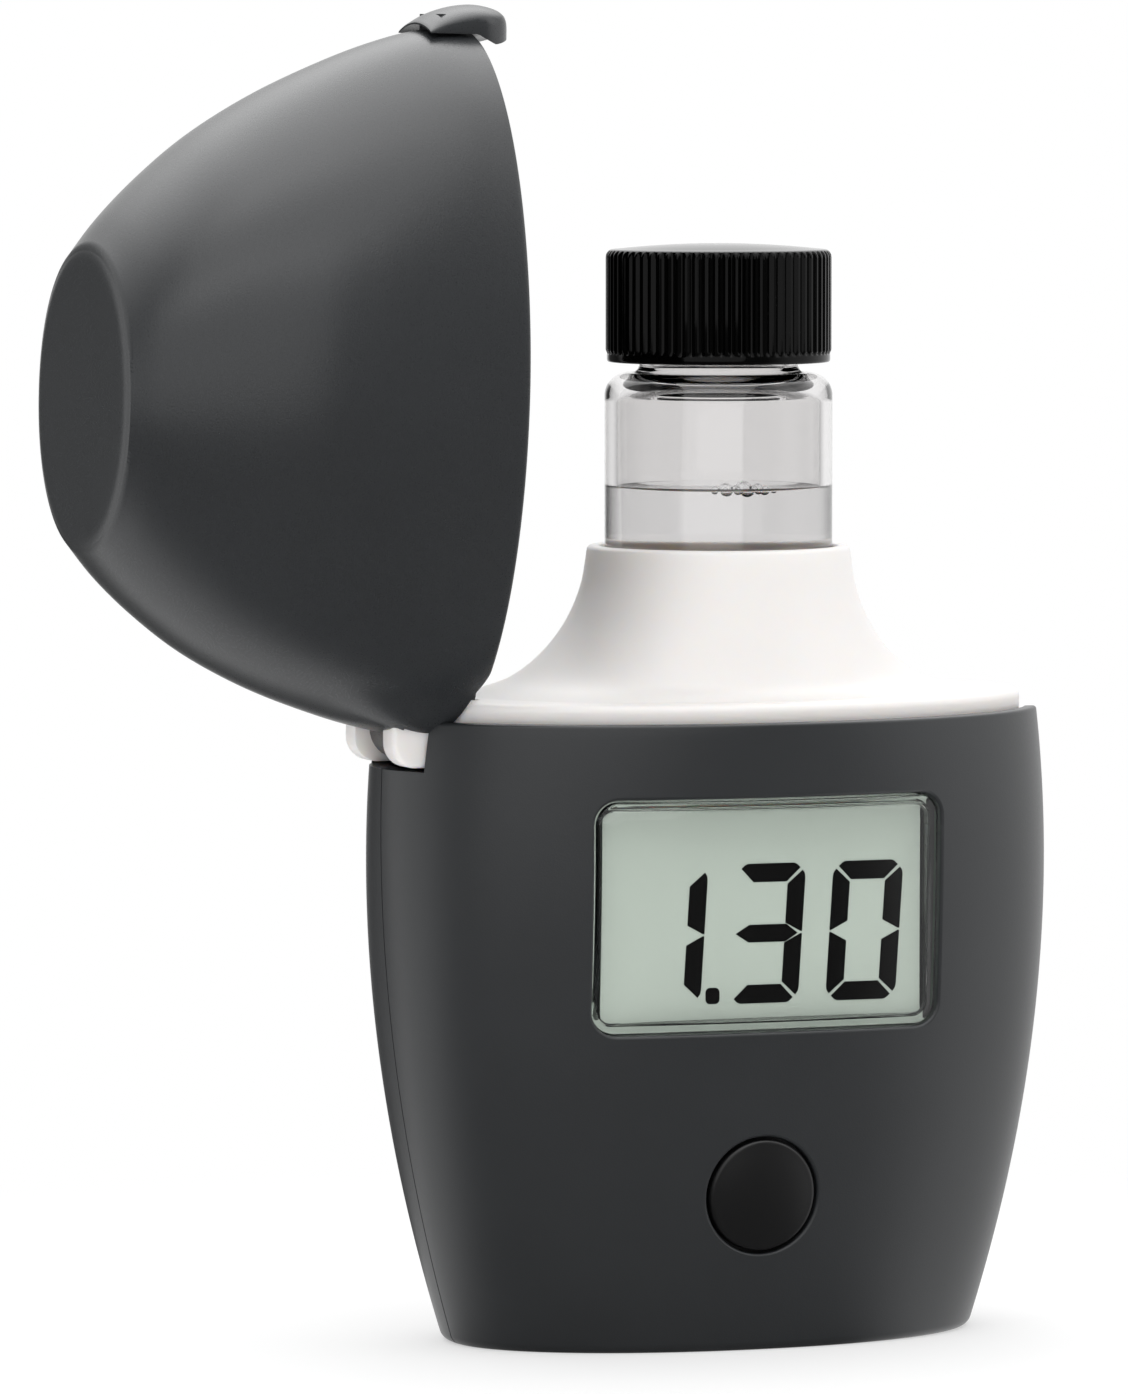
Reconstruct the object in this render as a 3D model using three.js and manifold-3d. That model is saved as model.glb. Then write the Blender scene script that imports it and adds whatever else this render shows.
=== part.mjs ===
// Pocket photometer for reading one water sample: a two-part body, a hinged lid that stands open,
// a flared collar with a capped glass vial in it, a display, a button and the works inside.
// Millimetres, +Z up, the front faces -Y. The origin is the middle of the base, on the surface
// that the body stands on.

import * as THREE from 'three';
import { mergeVertices } from 'three/addons/utils/BufferGeometryUtils.js';
import Module from 'manifold-3d';

const wasm = await Module();
wasm.setup();

// General clearances and cutting
const gap = 0.3;
const slidingGap = 0.35;
const overrun = 4;
const curveSegments = 18;
const roundSegments = 32;
const bodySegments = 44;

// Body: what its rim has to hold on each side of the works, how much narrower it is at the base,
// and how far its sides swell in between
const sideRoom = 8.85;
const rearRoom = 6.96;
const contactRoom = 1;
const widthTaper = 6.3;
const depthTaper = 4.6;
const bulgeWidth = 2.45;
const bulgeDepth = 0.3;
const baseRoundness = 2.1;
const rimRoundness = 1.95;
const middleSquareness = 0.45;
const bodyRings = 5;
const baseEdge = 0.8;
const rimEdge = 0.3;
const shellWall = 1.8;
const rimWall = 1.2;
const ledgeDepth = 2;
const floorThickness = 2;
const seamPlace = -0.8;
const seamGap = 0.15;

// Collar: flange, flare and the tube that guides the vial
const flangeHeight = 3.5;
const flangeStand = 1.6;
const flangeEdge = 0.5;
const collarTop = 68.6;
const collarWall = 1.6;
const collarTubeWall = 1.2;
const collarLip = 0.4;
// Rows of the flare: share of its height, and share of the way from the lip out to the flange
const flareShares = [
  [0, 0.62], [0.04, 0.545], [0.11, 0.4], [0.26, 0.25], [0.48, 0.12], [0.74, 0.035], [1, 0],
];

// Vial, standing in the collar
const vialX = 1.4;
const vialY = 0.9;
const vialRadius = 9.9;
const glassWall = 1.1;
const glassFloor = 1.5;
const vialBottom = 31.5;
const vialLength = 50.1;
const shoulderRadius = 2;
const neckRadius = 6.9;
const neckWall = 1.1;
const airDepth = 7.5;
const meniscusRise = 0.5;
const liquidInset = 0.05;

// Cap of the vial
const neckShow = 0.9;
const capHeight = 10;
const capRadius = 9.8;
const capWall = 1.5;
const capRoof = 1.2;
const capBand = 0.7;
const capBevel = 0.55;
const ribDepth = 0.28;
const ribCount = 70;
const linerThickness = 0.5;

// Vial holder in the body, the sprung rest under the vial and the rest's spring
const holderWall = 1.2;
const holderFloor = 1.6;
const lifterThickness = 2.2;
const hubRadius = 4.6;
const hubHeight = 1.6;
const lifterTravel = 9.2;
const lugWidth = 2;
const lugReach = 1;
const springWire = 0.7;
const springRadius = 6.2;
const springTurns = 6;
const stepsPerTurn = 8;

// Light path
const beamRise = 2.5;
const portWidth = 3.2;
const portHeight = 2.8;
const emitterThickness = 1.1;
const detectorSize = 4;
const detectorThickness = 1;
const detectorBoardWidth = 11;
const detectorBoardHeight = 10;
const ribbonWidth = 4;
const ribbonThickness = 0.3;
const ribbonStandOff = 1;

// Main board and display, upright behind the front wall
const displayRoom = 0.2;
const boardThickness = 0.8;
const boardMargin = 1;
const boardTopMargin = 2.1;
const boardShoulderDrop = 5.2;
const boardFootHalfWidth = 11.4;
const boardFootMargin = 1.6;
const windowDrop = 16.5;
const windowX = -0.6;
const windowSideBorder = 1.1;
const windowEndBorder = 0.4;
const windowCorner = 2.1;
const windowGap = 0.15;
const windowRecess = 0.25;
const windowThickness = 1;
const panelHalfWidth = 14.8;
const panelHalfHeight = 9.7;
const panelThickness = 1;
const stripThickness = 1;
const stripHeight = 1.6;
const stripHalfLength = 12.5;
const frameWall = 0.6;
const chipSize = 7;
const chipThickness = 1.1;
const chipX = 11.2;
const chipRoom = 2.5;
const amplifierSize = 3;
const amplifierThickness = 0.8;

// Button and its switch
const buttonHeight = 13.55;
const buttonX = -0.9;
const buttonRadius = 4.83;
const buttonHoleRadius = 5.1;
const buttonFlange = 0.65;
const buttonLip = 0.9;
const buttonProud = 0.1;
const buttonTravel = 0.3;
const buttonRoom = 0.2;
const switchSize = 4.5;
const switchThickness = 0.8;
const plungerRadius = 1;
const plungerLength = 0.75;
const plungerGap = 0.1;
const plungerPlay = 0.15;

// Battery, upright on the hinge side, and what holds it
const batteryGap = 0.81;
const batteryRadius = 5.25;
const batteryLength = 43.3;
const nubRadius = 1.9;
const nubHeight = 1.2;
const batteryBottom = 6.2;
const batteryEdge = 0.5;
const coverRadius = 5.5;
const coverThickness = 2;
const coverRaise = 0.2;
const coinSlotWidth = 1.3;
const coinSlotLength = 8;
const coinSlotDepth = 0.9;
const cellSpringWire = 0.5;
const cellSpringRadius = 3.2;
const cellSpringTurns = 2.5;
const plateThickness = 0.4;
const plateHalfWidth = 2.2;
const plateRear = 2.6;
const plateDrop = 3;

// Screws: places of the shell screws (x, height) and of the board screws (x, height)
const screwRadius = 0.9;
const screwHeadRadius = 1.8;
const screwHeadHeight = 1.1;
const bossWall = 1.1;
const screwReach = 8;
const shellScrews = { left: [-24.6, 31], right: [23.6, 43], low: [19.2, 9.5] };
const boardScrewX = 9.2;
const boardScrewDrop = 3.1;
const boardScrewHead = 0.8;
const boardScrewDepth = 1.9;
const driveWidth = 0.5;
const driveDepth = 0.45;

// Hinge
const hingeInboard = 3.9;
const hingeRise = 2.6;
const earOutside = 6.1;
const earInside = 3.45;
const earRadius = 5;
const earCorner = 2.6;
const notchInboard = 5.8;
const knuckleHalf = 3.1;
const knuckleRadius = 3.8;
const pinRadius = 0.9;
const pinClearance = 0.12;
const notchMargin = 0.4;
const notchDepth = 4.3;
const openDegrees = 88.7;

// Lid, measured closed on the body
const lidGap = 0.3;
const lidHeight = 33.8;
const lidWall = 1.2;
const lidMouthWall = 1;
const lidApexWall = 1.2;
const lidDepthGain = 0.35;
const lidLean = -1.9;
const lidTopRoundness = 2.1;
const lidCrease = 0.5;
const lidRings = 9;
// Rows of the lid's outline: share of its height, of its half width and of its half depth
const lidShares = [
  [0, 1, 0.981], [0.12, 1, 0.992], [0.25, 0.968, 1], [0.4, 0.91, 1], [0.55, 0.837, 0.985],
  [0.7, 0.741, 0.93], [0.82, 0.637, 0.845], [0.92, 0.53, 0.745], [1, 0.42, 0.64],
];
const slotHalf = 6.5;
const slotFootHalf = 9.4;
const slotTopGap = 0.4;
const slotShoulder = 3;
const slotTaper = 2.6;

// Thumb lip on the far end of the lid, and the notch that it drops into
const lipHalfWidth = 4;
const lipBulge = 1.8;
const lipTop = 4.3;
const lipDrop = 3.5;
const lipCorner = 3;
const lipTipIn = 0.9;
const lipFootHeight = 1.6;
const lipFootHalfWidth = 2.5;
// Rows of the lip's outer face: share of its height, and share of its bulge
const lipShares = [[0, 0.45], [0.15, 0.85], [0.35, 1], [0.55, 0.92], [0.8, 0.6], [1, 0.12]];
const catchHalf = 4.5;
const catchInboard = 2.8;
const catchDepth = 4.2;

// Angles and powers with no size of their own
const quarter = Math.PI / 2;
const full = Math.PI * 2;

// Places worked out from the sizes above

const vialClearRadius = vialRadius + slidingGap;
const holderOuter = vialClearRadius + holderWall;
const holderRear = vialY + vialClearRadius + holderWall / 2;
const lifterTop = vialBottom - gap;
const beamHeight = vialBottom + beamRise;
const shoulderHeight = vialBottom + vialLength;
const liquidTop = shoulderHeight - airDepth;
const capBottom = shoulderHeight + shoulderRadius + neckShow;
const capTop = capBottom + capHeight;
const linerTop = capTop - capRoof - gap;
const neckTop = linerTop - linerThickness - gap;

const batteryX = vialX - holderOuter - batteryGap - batteryRadius;
const contactLow = batteryBottom + batteryLength + nubHeight + gap;
const flangeBottom = contactLow + plateThickness + contactRoom;
const flangeTop = flangeBottom + flangeHeight;
const bodyHeight = flangeTop - flangeStand;
const holderTop = flangeBottom - ledgeDepth - gap;

const rimHalfWidth = batteryRadius - batteryX + sideRoom;
const rimHalfDepth = holderOuter + rearRoom;
const baseHalfWidth = rimHalfWidth - widthTaper;
const baseHalfDepth = rimHalfDepth - depthTaper;
const flangeHalfWidth = rimHalfWidth - rimWall - gap;
const flangeHalfDepth = rimHalfDepth - rimWall - gap;
const flareBase = vialClearRadius + collarTubeWall;

const windowHeight = bodyHeight - windowDrop;
const windowHalfWidth = panelHalfWidth + windowSideBorder;
const windowHalfHeight = panelHalfHeight + windowEndBorder;
const windowLow = windowHeight - windowHalfHeight;
const windowCornerDepth = wallDepth(windowHalfWidth, windowLow) - windowRecess - windowThickness;
const panelFront = displayRoom - windowCornerDepth;
const boardFront = panelFront + panelThickness + stripThickness;
const boardBack = boardFront + boardThickness;
const boardHalfWidth = panelHalfWidth + boardMargin;
const boardTop = windowHeight + panelHalfHeight + boardTopMargin;
const boardShoulder = windowLow - boardShoulderDrop;
const boardBottom = buttonHeight - switchSize / 2 - boardFootMargin;
const boardScrewHeight = windowLow - boardScrewDrop;
const chipHeight = beamHeight + ribbonWidth / 2 + chipRoom + chipSize / 2;
const buttonBack = boardFront - switchThickness - buttonTravel - buttonRoom;

const hingeX = hingeInboard - rimHalfWidth;
const hingeHeight = bodyHeight + hingeRise;
const notchHalf = earOutside + notchMargin;
const notchFloor = bodyHeight - notchDepth;
const earBottom = notchFloor + slidingGap;
const mouthHeight = bodyHeight + lidGap;
const lidHalfWidth = rimHalfWidth;
const lidHalfDepth = rimHalfDepth + lidDepthGain;

// Solids and meshes

function toSolid(geometry) {
  const plain = geometry.clone();
  plain.deleteAttribute('normal');
  plain.deleteAttribute('uv');
  const merged = mergeVertices(plain);
  return new wasm.Manifold(new wasm.Mesh({
    numProp: 3,
    vertProperties: new Float32Array(merged.attributes.position.array),
    triVerts: new Uint32Array(merged.index.array),
  }));
}

function toGeometry(solid) {
  const mesh = solid.getMesh();
  const geometry = new THREE.BufferGeometry();
  geometry.setAttribute('position', new THREE.BufferAttribute(mesh.vertProperties, 3));
  geometry.setIndex(new THREE.BufferAttribute(mesh.triVerts, 1));
  const flat = geometry.toNonIndexed();
  flat.computeVertexNormals();
  return flat;
}

function joined(...solids) {
  return solids.reduce((all, next) => all.add(next));
}

function makeMesh(name, solid, material) {
  const mesh = new THREE.Mesh(toGeometry(solid), material);
  mesh.name = name;
  return mesh;
}

function material(color, roughness, metalness = 0, opacity = 1) {
  return new THREE.MeshStandardMaterial({ color, roughness, metalness, opacity, transparent: opacity < 1 });
}

// Simple forms, each returned as a solid

function box(lowX, highX, lowY, highY, lowZ, highZ) {
  const geometry = new THREE.BoxGeometry(highX - lowX, highY - lowY, highZ - lowZ);
  geometry.translate((lowX + highX) / 2, (lowY + highY) / 2, (lowZ + highZ) / 2);
  return toSolid(geometry);
}

// The same, given by its middle and half sizes in X and Z
function slab(x, halfX, lowY, highY, z, halfZ) {
  return box(x - halfX, x + halfX, lowY, highY, z - halfZ, z + halfZ);
}

function upright(radius, lowZ, highZ, x = 0, y = 0, segments = curveSegments) {
  const geometry = new THREE.CylinderGeometry(radius, radius, highZ - lowZ, segments);
  geometry.rotateX(quarter);
  geometry.translate(x, y, (lowZ + highZ) / 2);
  return toSolid(geometry);
}

function throughFront(radius, lowY, highY, x, z, segments = curveSegments) {
  const geometry = new THREE.CylinderGeometry(radius, radius, highY - lowY, segments);
  geometry.translate(x, (lowY + highY) / 2, z);
  return toSolid(geometry);
}

// A round form about an upright axis; the profile is a list of [radius, height] that runs from the
// axis up to the axis again
function turned(profile, x = 0, y = 0, segments = curveSegments) {
  const points = profile.map(([radius, height]) => new THREE.Vector2(radius, height));
  const geometry = new THREE.LatheGeometry(points, segments);
  geometry.rotateX(quarter);
  geometry.translate(x, y, 0);
  return toSolid(geometry);
}

// A flat outline in X and Z, carried from lowY to highY
function sheetAcross(shape, lowY, highY, segments = curveSegments) {
  const geometry = new THREE.ExtrudeGeometry(shape, {
    depth: highY - lowY, bevelEnabled: false, curveSegments: segments,
  });
  geometry.rotateX(quarter);
  geometry.translate(0, highY, 0);
  return toSolid(geometry);
}

function roundedShape(centreX, centreZ, halfWidth, halfHeight, corner) {
  const shape = new THREE.Shape();
  const left = centreX - halfWidth;
  const right = centreX + halfWidth;
  const low = centreZ - halfHeight;
  const high = centreZ + halfHeight;
  shape.moveTo(left + corner, low);
  shape.lineTo(right - corner, low);
  shape.absarc(right - corner, low + corner, corner, -quarter, 0);
  shape.lineTo(right, high - corner);
  shape.absarc(right - corner, high - corner, corner, 0, quarter);
  shape.lineTo(left + corner, high);
  shape.absarc(left + corner, high - corner, corner, quarter, Math.PI);
  shape.lineTo(left, low + corner);
  shape.absarc(left + corner, low + corner, corner, Math.PI, Math.PI + quarter);
  return shape;
}

function outlineShape(points) {
  const shape = new THREE.Shape();
  points.forEach(([x, z], index) => (index ? shape.lineTo(x, z) : shape.moveTo(x, z)));
  return shape;
}

// A closed form through level sections, each { height, halfWidth, halfDepth, roundness, x, y }
function loft(sections, segments = bodySegments) {
  const last = sections.length - 1;
  const geometry = new THREE.CylinderGeometry(1, 1, 1, segments, last);
  geometry.deleteAttribute('normal');
  geometry.deleteAttribute('uv');
  const merged = mergeVertices(geometry);
  const place = merged.attributes.position;
  for (let i = 0; i < place.count; i += 1) {
    const section = sections[Math.round((place.getY(i) + 1 / 2) * last)];
    const reach = Math.hypot(place.getX(i), place.getZ(i));
    const cosine = reach ? place.getX(i) / reach : 0;
    const sine = reach ? -place.getZ(i) / reach : 0;
    const power = 2 / section.roundness;
    const across = Math.sign(cosine) * Math.abs(cosine) ** power * reach;
    const along = Math.sign(sine) * Math.abs(sine) ** power * reach;
    const x = (section.x ?? 0) + section.halfWidth * across;
    const y = (section.y ?? 0) + section.halfDepth * along;
    place.setXYZ(i, x, y, section.height);
  }
  return toSolid(merged);
}

// Coil spring about an upright axis, its wire's ends cut level
function coil(radius, wire, turns, lowZ, highZ, x, y) {
  const steps = Math.round(turns * stepsPerTurn);
  const low = lowZ + wire / 2;
  const rise = highZ - wire / 2 - low;
  const points = [];
  for (let i = 0; i <= steps; i += 1) {
    const angle = (i / stepsPerTurn) * full;
    points.push(new THREE.Vector3(
      x + radius * Math.cos(angle), y + radius * Math.sin(angle), low + rise * (i / steps),
    ));
  }
  const section = new THREE.Shape();
  section.absarc(0, 0, wire / 2, 0, full);
  const geometry = new THREE.ExtrudeGeometry(section, {
    steps, curveSegments: 3, bevelEnabled: false, extrudePath: new THREE.CatmullRomCurve3(points),
  });
  return toSolid(geometry);
}

// The body's outside at a height, drawn in by an inset

function bodySection(height, inset = 0) {
  const share = height / bodyHeight;
  const bow = 4 * share * (1 - share);
  return {
    height,
    halfWidth: baseHalfWidth + widthTaper * share + bulgeWidth * bow - inset,
    halfDepth: baseHalfDepth + depthTaper * share + bulgeDepth * bow - inset,
    roundness: baseRoundness + (rimRoundness - baseRoundness) * share + middleSquareness * bow,
  };
}

function bodyLoft(lowZ, highZ, inset, rings = bodyRings) {
  const sections = [];
  for (let i = 0; i <= rings; i += 1) {
    sections.push(bodySection(lowZ + (highZ - lowZ) * (i / rings), inset));
  }
  return loft(sections);
}

function bodyOutside() {
  const sections = [];
  for (const share of [0, 1 / 3, 2 / 3]) {
    const inset = baseEdge * (1 - Math.sin(share * quarter));
    sections.push(bodySection(baseEdge * (1 - Math.cos(share * quarter)), inset));
  }
  for (let i = 0; i <= bodyRings; i += 1) {
    sections.push(bodySection(baseEdge + (bodyHeight - rimEdge - baseEdge) * (i / bodyRings)));
  }
  sections.push(bodySection(bodyHeight, rimEdge));
  return loft(sections);
}

// The two shells

function shellScrewBoss(place, lowY, highY) {
  return throughFront(screwRadius + gap + bossWall, lowY, highY, place[0], place[1], 20);
}

function windowPrism(grow) {
  return sheetAcross(
    roundedShape(windowX, windowHeight, windowHalfWidth + grow, windowHalfHeight + grow, windowCorner + grow),
    -rimHalfDepth - overrun, boardFront, 5,
  );
}

function hingeNotch() {
  return box(-rimHalfWidth - overrun, notchInboard - rimHalfWidth, -notchHalf, notchHalf, notchFloor, bodyHeight + overrun);
}

function catchNotch() {
  const low = bodyHeight - catchDepth;
  const high = bodyHeight + overrun;
  return box(rimHalfWidth - catchInboard, rimHalfWidth + overrun, -catchHalf, catchHalf, low, high);
}

function bodyHollow(lowZ) {
  const main = bodyLoft(lowZ, flangeBottom, shellWall);
  const mouth = bodyLoft(flangeBottom - gap, bodyHeight, rimWall, 2);
  return main.add(mouth);
}

// Everything on the far side of the seam from a shell, to be cut away
function beyondSeam(lowY, highY) {
  const wide = rimHalfWidth + overrun;
  return box(-wide, wide, lowY, highY, -overrun, bodyHeight + overrun);
}

function boardPost(side) {
  const radius = screwRadius + gap + bossWall;
  return throughFront(radius, -rimHalfDepth, boardFront, side * boardScrewX, boardScrewHeight);
}

function boardScrewHole(side) {
  const deep = boardFront - boardScrewDepth - gap;
  return throughFront(screwRadius + gap, deep, boardBack + overrun, side * boardScrewX, boardScrewHeight, 16);
}

function buttonOpening() {
  const pocketRadius = buttonHoleRadius + buttonFlange + gap;
  const pocket = throughFront(pocketRadius, -rimHalfDepth, boardFront, buttonX, buttonHeight)
    .intersect(bodyLoft(baseEdge, bodyHeight, buttonLip));
  const hole = throughFront(buttonHoleRadius, -rimHalfDepth - overrun, boardFront, buttonX, buttonHeight);
  return pocket.add(hole);
}

function frontShell() {
  const seam = seamPlace - seamGap / 2;
  let shell = bodyOutside().subtract(bodyHollow(0)).subtract(beyondSeam(seam, rimHalfDepth + overrun));
  const bosses = Object.values(shellScrews).map((place) => shellScrewBoss(place, -rimHalfDepth, seam));
  const posts = joined(...bosses, boardPost(-1), boardPost(1));
  shell = shell.add(posts.intersect(bodyLoft(floorThickness + gap, bodyHeight - rimEdge, rimWall)));
  for (const place of Object.values(shellScrews)) {
    shell = shell.subtract(
      throughFront(screwRadius + gap, -screwReach - gap, overrun, place[0], place[1], 16),
    );
  }
  shell = shell.subtract(boardScrewHole(-1)).subtract(boardScrewHole(1));
  return shell.subtract(buttonOpening()).subtract(windowPrism(0))
    .subtract(hingeNotch()).subtract(catchNotch());
}

// The rear shell carries the whole floor, which reaches forward inside the front shell
function rearShell() {
  const seam = seamPlace + seamGap / 2;
  let shell = bodyOutside().subtract(bodyHollow(floorThickness))
    .subtract(beyondSeam(-rimHalfDepth - overrun, seam));
  const floor = bodyLoft(0, floorThickness, shellWall + seamGap, 1)
    .subtract(beyondSeam(seam + seamGap, rimHalfDepth + overrun));
  const bosses = Object.values(shellScrews).map((place) => shellScrewBoss(place, seam, rimHalfDepth));
  shell = joined(shell, floor, joined(...bosses).intersect(bodyLoft(0, bodyHeight - rimEdge, rimWall)));
  for (const place of Object.values(shellScrews)) {
    const seat = screwSeat(place);
    const shank = throughFront(screwRadius + gap, -overrun, rimHalfDepth + overrun, place[0], place[1], 16);
    const head = throughFront(screwHeadRadius + gap, seat, rimHalfDepth + overrun, place[0], place[1], 20);
    shell = shell.subtract(shank).subtract(head);
  }
  const cellHole = upright(coverRadius + gap, -overrun, floorThickness + overrun, batteryX, 0, roundSegments);
  return shell.subtract(cellHole).subtract(hingeNotch()).subtract(catchNotch());
}

// How far back the body's outside lies at a place given by x and height
function wallDepth(x, height) {
  const section = bodySection(height);
  const share = 1 - Math.abs(x / section.halfWidth) ** section.roundness;
  return section.halfDepth * share ** (1 / section.roundness);
}

function screwSeat(place) {
  return wallDepth(Math.abs(place[0]) + screwHeadRadius, place[1]) - screwHeadHeight - gap;
}

// Screw along Y: its head's outer face is at headY, and the shank runs towards -Y to endY
function screw(x, z, headY, endY, headRadius, headHeight) {
  const head = throughFront(headRadius, headY - headHeight, headY, x, z, 20);
  const shank = throughFront(screwRadius, endY, headY - headHeight / 2, x, z, 14);
  const slots = joined(
    slab(x, headRadius / 2, headY - driveDepth, headY + overrun, z, driveWidth / 2),
    slab(x, driveWidth / 2, headY - driveDepth, headY + overrun, z, headRadius / 2),
  );
  return head.add(shank).subtract(slots);
}

// Collar with its flange, flare, tube and hinge ears

function flareSections(inset) {
  return flareShares.map(([heightShare, outShare]) => ({
    height: flangeTop + (collarTop - collarLip - flangeTop) * heightShare,
    halfWidth: flareBase + (flangeHalfWidth - flareBase) * outShare - inset,
    halfDepth: flareBase + (flangeHalfDepth - flareBase) * outShare - inset,
    roundness: 2,
    x: vialX * (1 - outShare),
    y: vialY * (1 - outShare),
  }));
}

// A section drawn in at its edge and set at a height
function edgeSection(section, height, inset) {
  const halfWidth = section.halfWidth - inset;
  const halfDepth = section.halfDepth - inset;
  return { ...section, height, halfWidth, halfDepth };
}

function collarBlank() {
  const rim = bodySection(bodyHeight, rimWall + gap);
  const flare = flareSections(0);
  const lip = flare[flare.length - 1];
  flare[0].height += flangeEdge / 20;
  return loft([
    edgeSection(rim, flangeBottom, 0),
    edgeSection(rim, flangeTop - flangeEdge, 0),
    edgeSection(rim, flangeTop - flangeEdge * 0.3, flangeEdge * 0.3),
    edgeSection(rim, flangeTop, flangeEdge),
    ...flare,
    edgeSection(lip, collarTop - collarLip * 0.3, collarLip * 0.3),
    edgeSection(lip, collarTop, collarLip),
  ]);
}

function collarHollow() {
  const rim = bodySection(bodyHeight, rimWall + gap + collarWall);
  const open = flareSections(collarWall).filter((section) => section.halfDepth > flareBase + gap);
  const core = upright(flareBase, -overrun, collarTop + overrun, vialX, vialY, roundSegments);
  return loft([
    edgeSection(rim, flangeBottom - overrun, 0),
    edgeSection(rim, flangeTop - collarWall, 0),
    ...open.map((section) => edgeSection(section, section.height - collarWall / 2, 0)),
  ]).subtract(core);
}

function earOutline(reachIn) {
  const shape = new THREE.Shape();
  const left = hingeX - earRadius;
  shape.moveTo(reachIn, earBottom);
  shape.lineTo(reachIn, hingeHeight + earRadius / 2);
  shape.absarc(hingeX, hingeHeight, earRadius, Math.PI / 6, Math.PI);
  shape.lineTo(left, earBottom + earCorner);
  shape.absarc(left + earCorner, earBottom + earCorner, earCorner, Math.PI, Math.PI + quarter);
  return shape;
}

function hingeEar(lowY, highY) {
  const clearOfCell = upright(batteryRadius + gap, -overrun, flangeBottom, batteryX);
  return sheetAcross(earOutline(hingeX + earRadius), lowY, highY, 8).subtract(clearOfCell);
}

function pinBore(half) {
  return throughFront(pinRadius + pinClearance, -half - overrun, half + overrun, hingeX, hingeHeight, 20);
}

function hingePin() {
  return throughFront(pinRadius, -earOutside, earOutside, hingeX, hingeHeight, 20);
}

function cuvetteCollar() {
  const tube = upright(flareBase, holderTop + gap, flangeTop, vialX, vialY, roundSegments);
  const knuckleRoom = throughFront(knuckleRadius + gap, -earInside, earInside, hingeX, hingeHeight)
    .add(box(hingeX - earRadius - overrun, hingeX, -earInside, earInside, notchFloor, hingeHeight));
  const bore = upright(vialClearRadius, -overrun, collarTop + overrun, vialX, vialY, roundSegments);
  return joined(
    collarBlank().subtract(collarHollow()), tube,
    hingeEar(-earOutside, -earInside), hingeEar(earInside, earOutside),
  ).subtract(knuckleRoom).subtract(pinBore(earOutside)).subtract(bore);
}

// Vial, its contents and its cap

function cuvetteGlass() {
  const bend = shoulderRadius;
  const outer = [[0, vialBottom]];
  outer.push([vialRadius - bend / 2, vialBottom], [vialRadius, vialBottom + bend / 2]);
  outer.push([vialRadius, shoulderHeight]);
  for (let i = 1; i <= 4; i += 1) {
    const angle = (i / 4) * quarter;
    outer.push([vialRadius - bend + bend * Math.cos(angle), shoulderHeight + bend * Math.sin(angle)]);
  }
  outer.push([neckRadius, shoulderHeight + bend], [neckRadius, neckTop]);
  const inner = [[neckRadius - neckWall, neckTop], [neckRadius - neckWall, shoulderHeight + bend - neckWall]];
  const bendIn = bend - glassWall / 2;
  inner.push([vialRadius - glassWall - bendIn, shoulderHeight + bend - neckWall]);
  inner.push([vialRadius - glassWall, shoulderHeight - glassWall / 2]);
  inner.push([vialRadius - glassWall, vialBottom + glassFloor], [0, vialBottom + glassFloor]);
  return turned([...outer, ...inner], vialX, vialY, roundSegments);
}

function sampleLiquid() {
  const radius = vialRadius - glassWall - liquidInset;
  const low = vialBottom + glassFloor + liquidInset;
  return turned([
    [0, low], [radius, low], [radius, liquidTop + meniscusRise],
    [radius - meniscusRise, liquidTop + meniscusRise / 4],
    [radius - meniscusRise * 3, liquidTop], [0, liquidTop],
  ], vialX, vialY, roundSegments);
}

function capRibs(low, high) {
  const half = full / ribCount / 2;
  const inner = capRadius - ribDepth;
  const points = [];
  for (let i = 0; i < ribCount; i += 1) {
    const angle = (i / ribCount) * full;
    points.push([vialX + capRadius * Math.cos(angle), vialY + capRadius * Math.sin(angle)]);
    points.push([vialX + inner * Math.cos(angle + half), vialY + inner * Math.sin(angle + half)]);
  }
  const shape = outlineShape(points);
  const geometry = new THREE.ExtrudeGeometry(shape, { depth: high - low, bevelEnabled: false });
  geometry.translate(0, 0, low);
  return toSolid(geometry);
}

function cuvetteCap() {
  const low = capBottom + capBand;
  const high = capTop - capBevel;
  const root = capRadius - ribDepth * 1.5;
  const core = turned([
    [0, capBottom], [capRadius - ribDepth, capBottom], [capRadius - ribDepth / 2, low - capBand / 4],
    [root, low + capBevel], [root, high - capBevel], [capRadius - ribDepth, high],
    [capRadius - ribDepth - capBevel, capTop], [0, capTop],
  ], vialX, vialY, roundSegments);
  const hollow = upright(capRadius - capWall, -overrun, capTop - capRoof, vialX, vialY);
  return capRibs(low, high).add(core).subtract(hollow);
}

function capLiner() {
  return upright(capRadius - capWall - gap, linerTop - linerThickness, linerTop, vialX, vialY);
}

// Holder, the sprung rest and its spring

function cuvetteHolder() {
  const low = floorThickness + gap;
  const tube = upright(holderOuter, low, holderTop, vialX, vialY, roundSegments)
    .subtract(upright(vialClearRadius, low + holderFloor, holderTop + overrun, vialX, vialY, roundSegments));
  const emitterPort = slab(vialX, portWidth / 2, boardBack, vialY, beamHeight, portHeight / 2);
  const half = detectorSize / 2 + gap;
  const detectorPort = slab(vialX, half, vialY, holderRear + overrun, beamHeight, half);
  const slotHalfWidth = lugWidth / 2 + slidingGap;
  const slots = box(
    vialX - holderOuter - gap, vialX + holderOuter + gap, vialY - slotHalfWidth, vialY + slotHalfWidth,
    lifterTop - lifterTravel - lifterThickness - gap, lifterTop + gap,
  );
  const front = boardBack + slidingGap;
  return tube.intersect(box(vialX - holderOuter, vialX + holderOuter, front, holderRear, low, holderTop))
    .subtract(emitterPort).subtract(detectorPort).subtract(slots);
}

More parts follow.
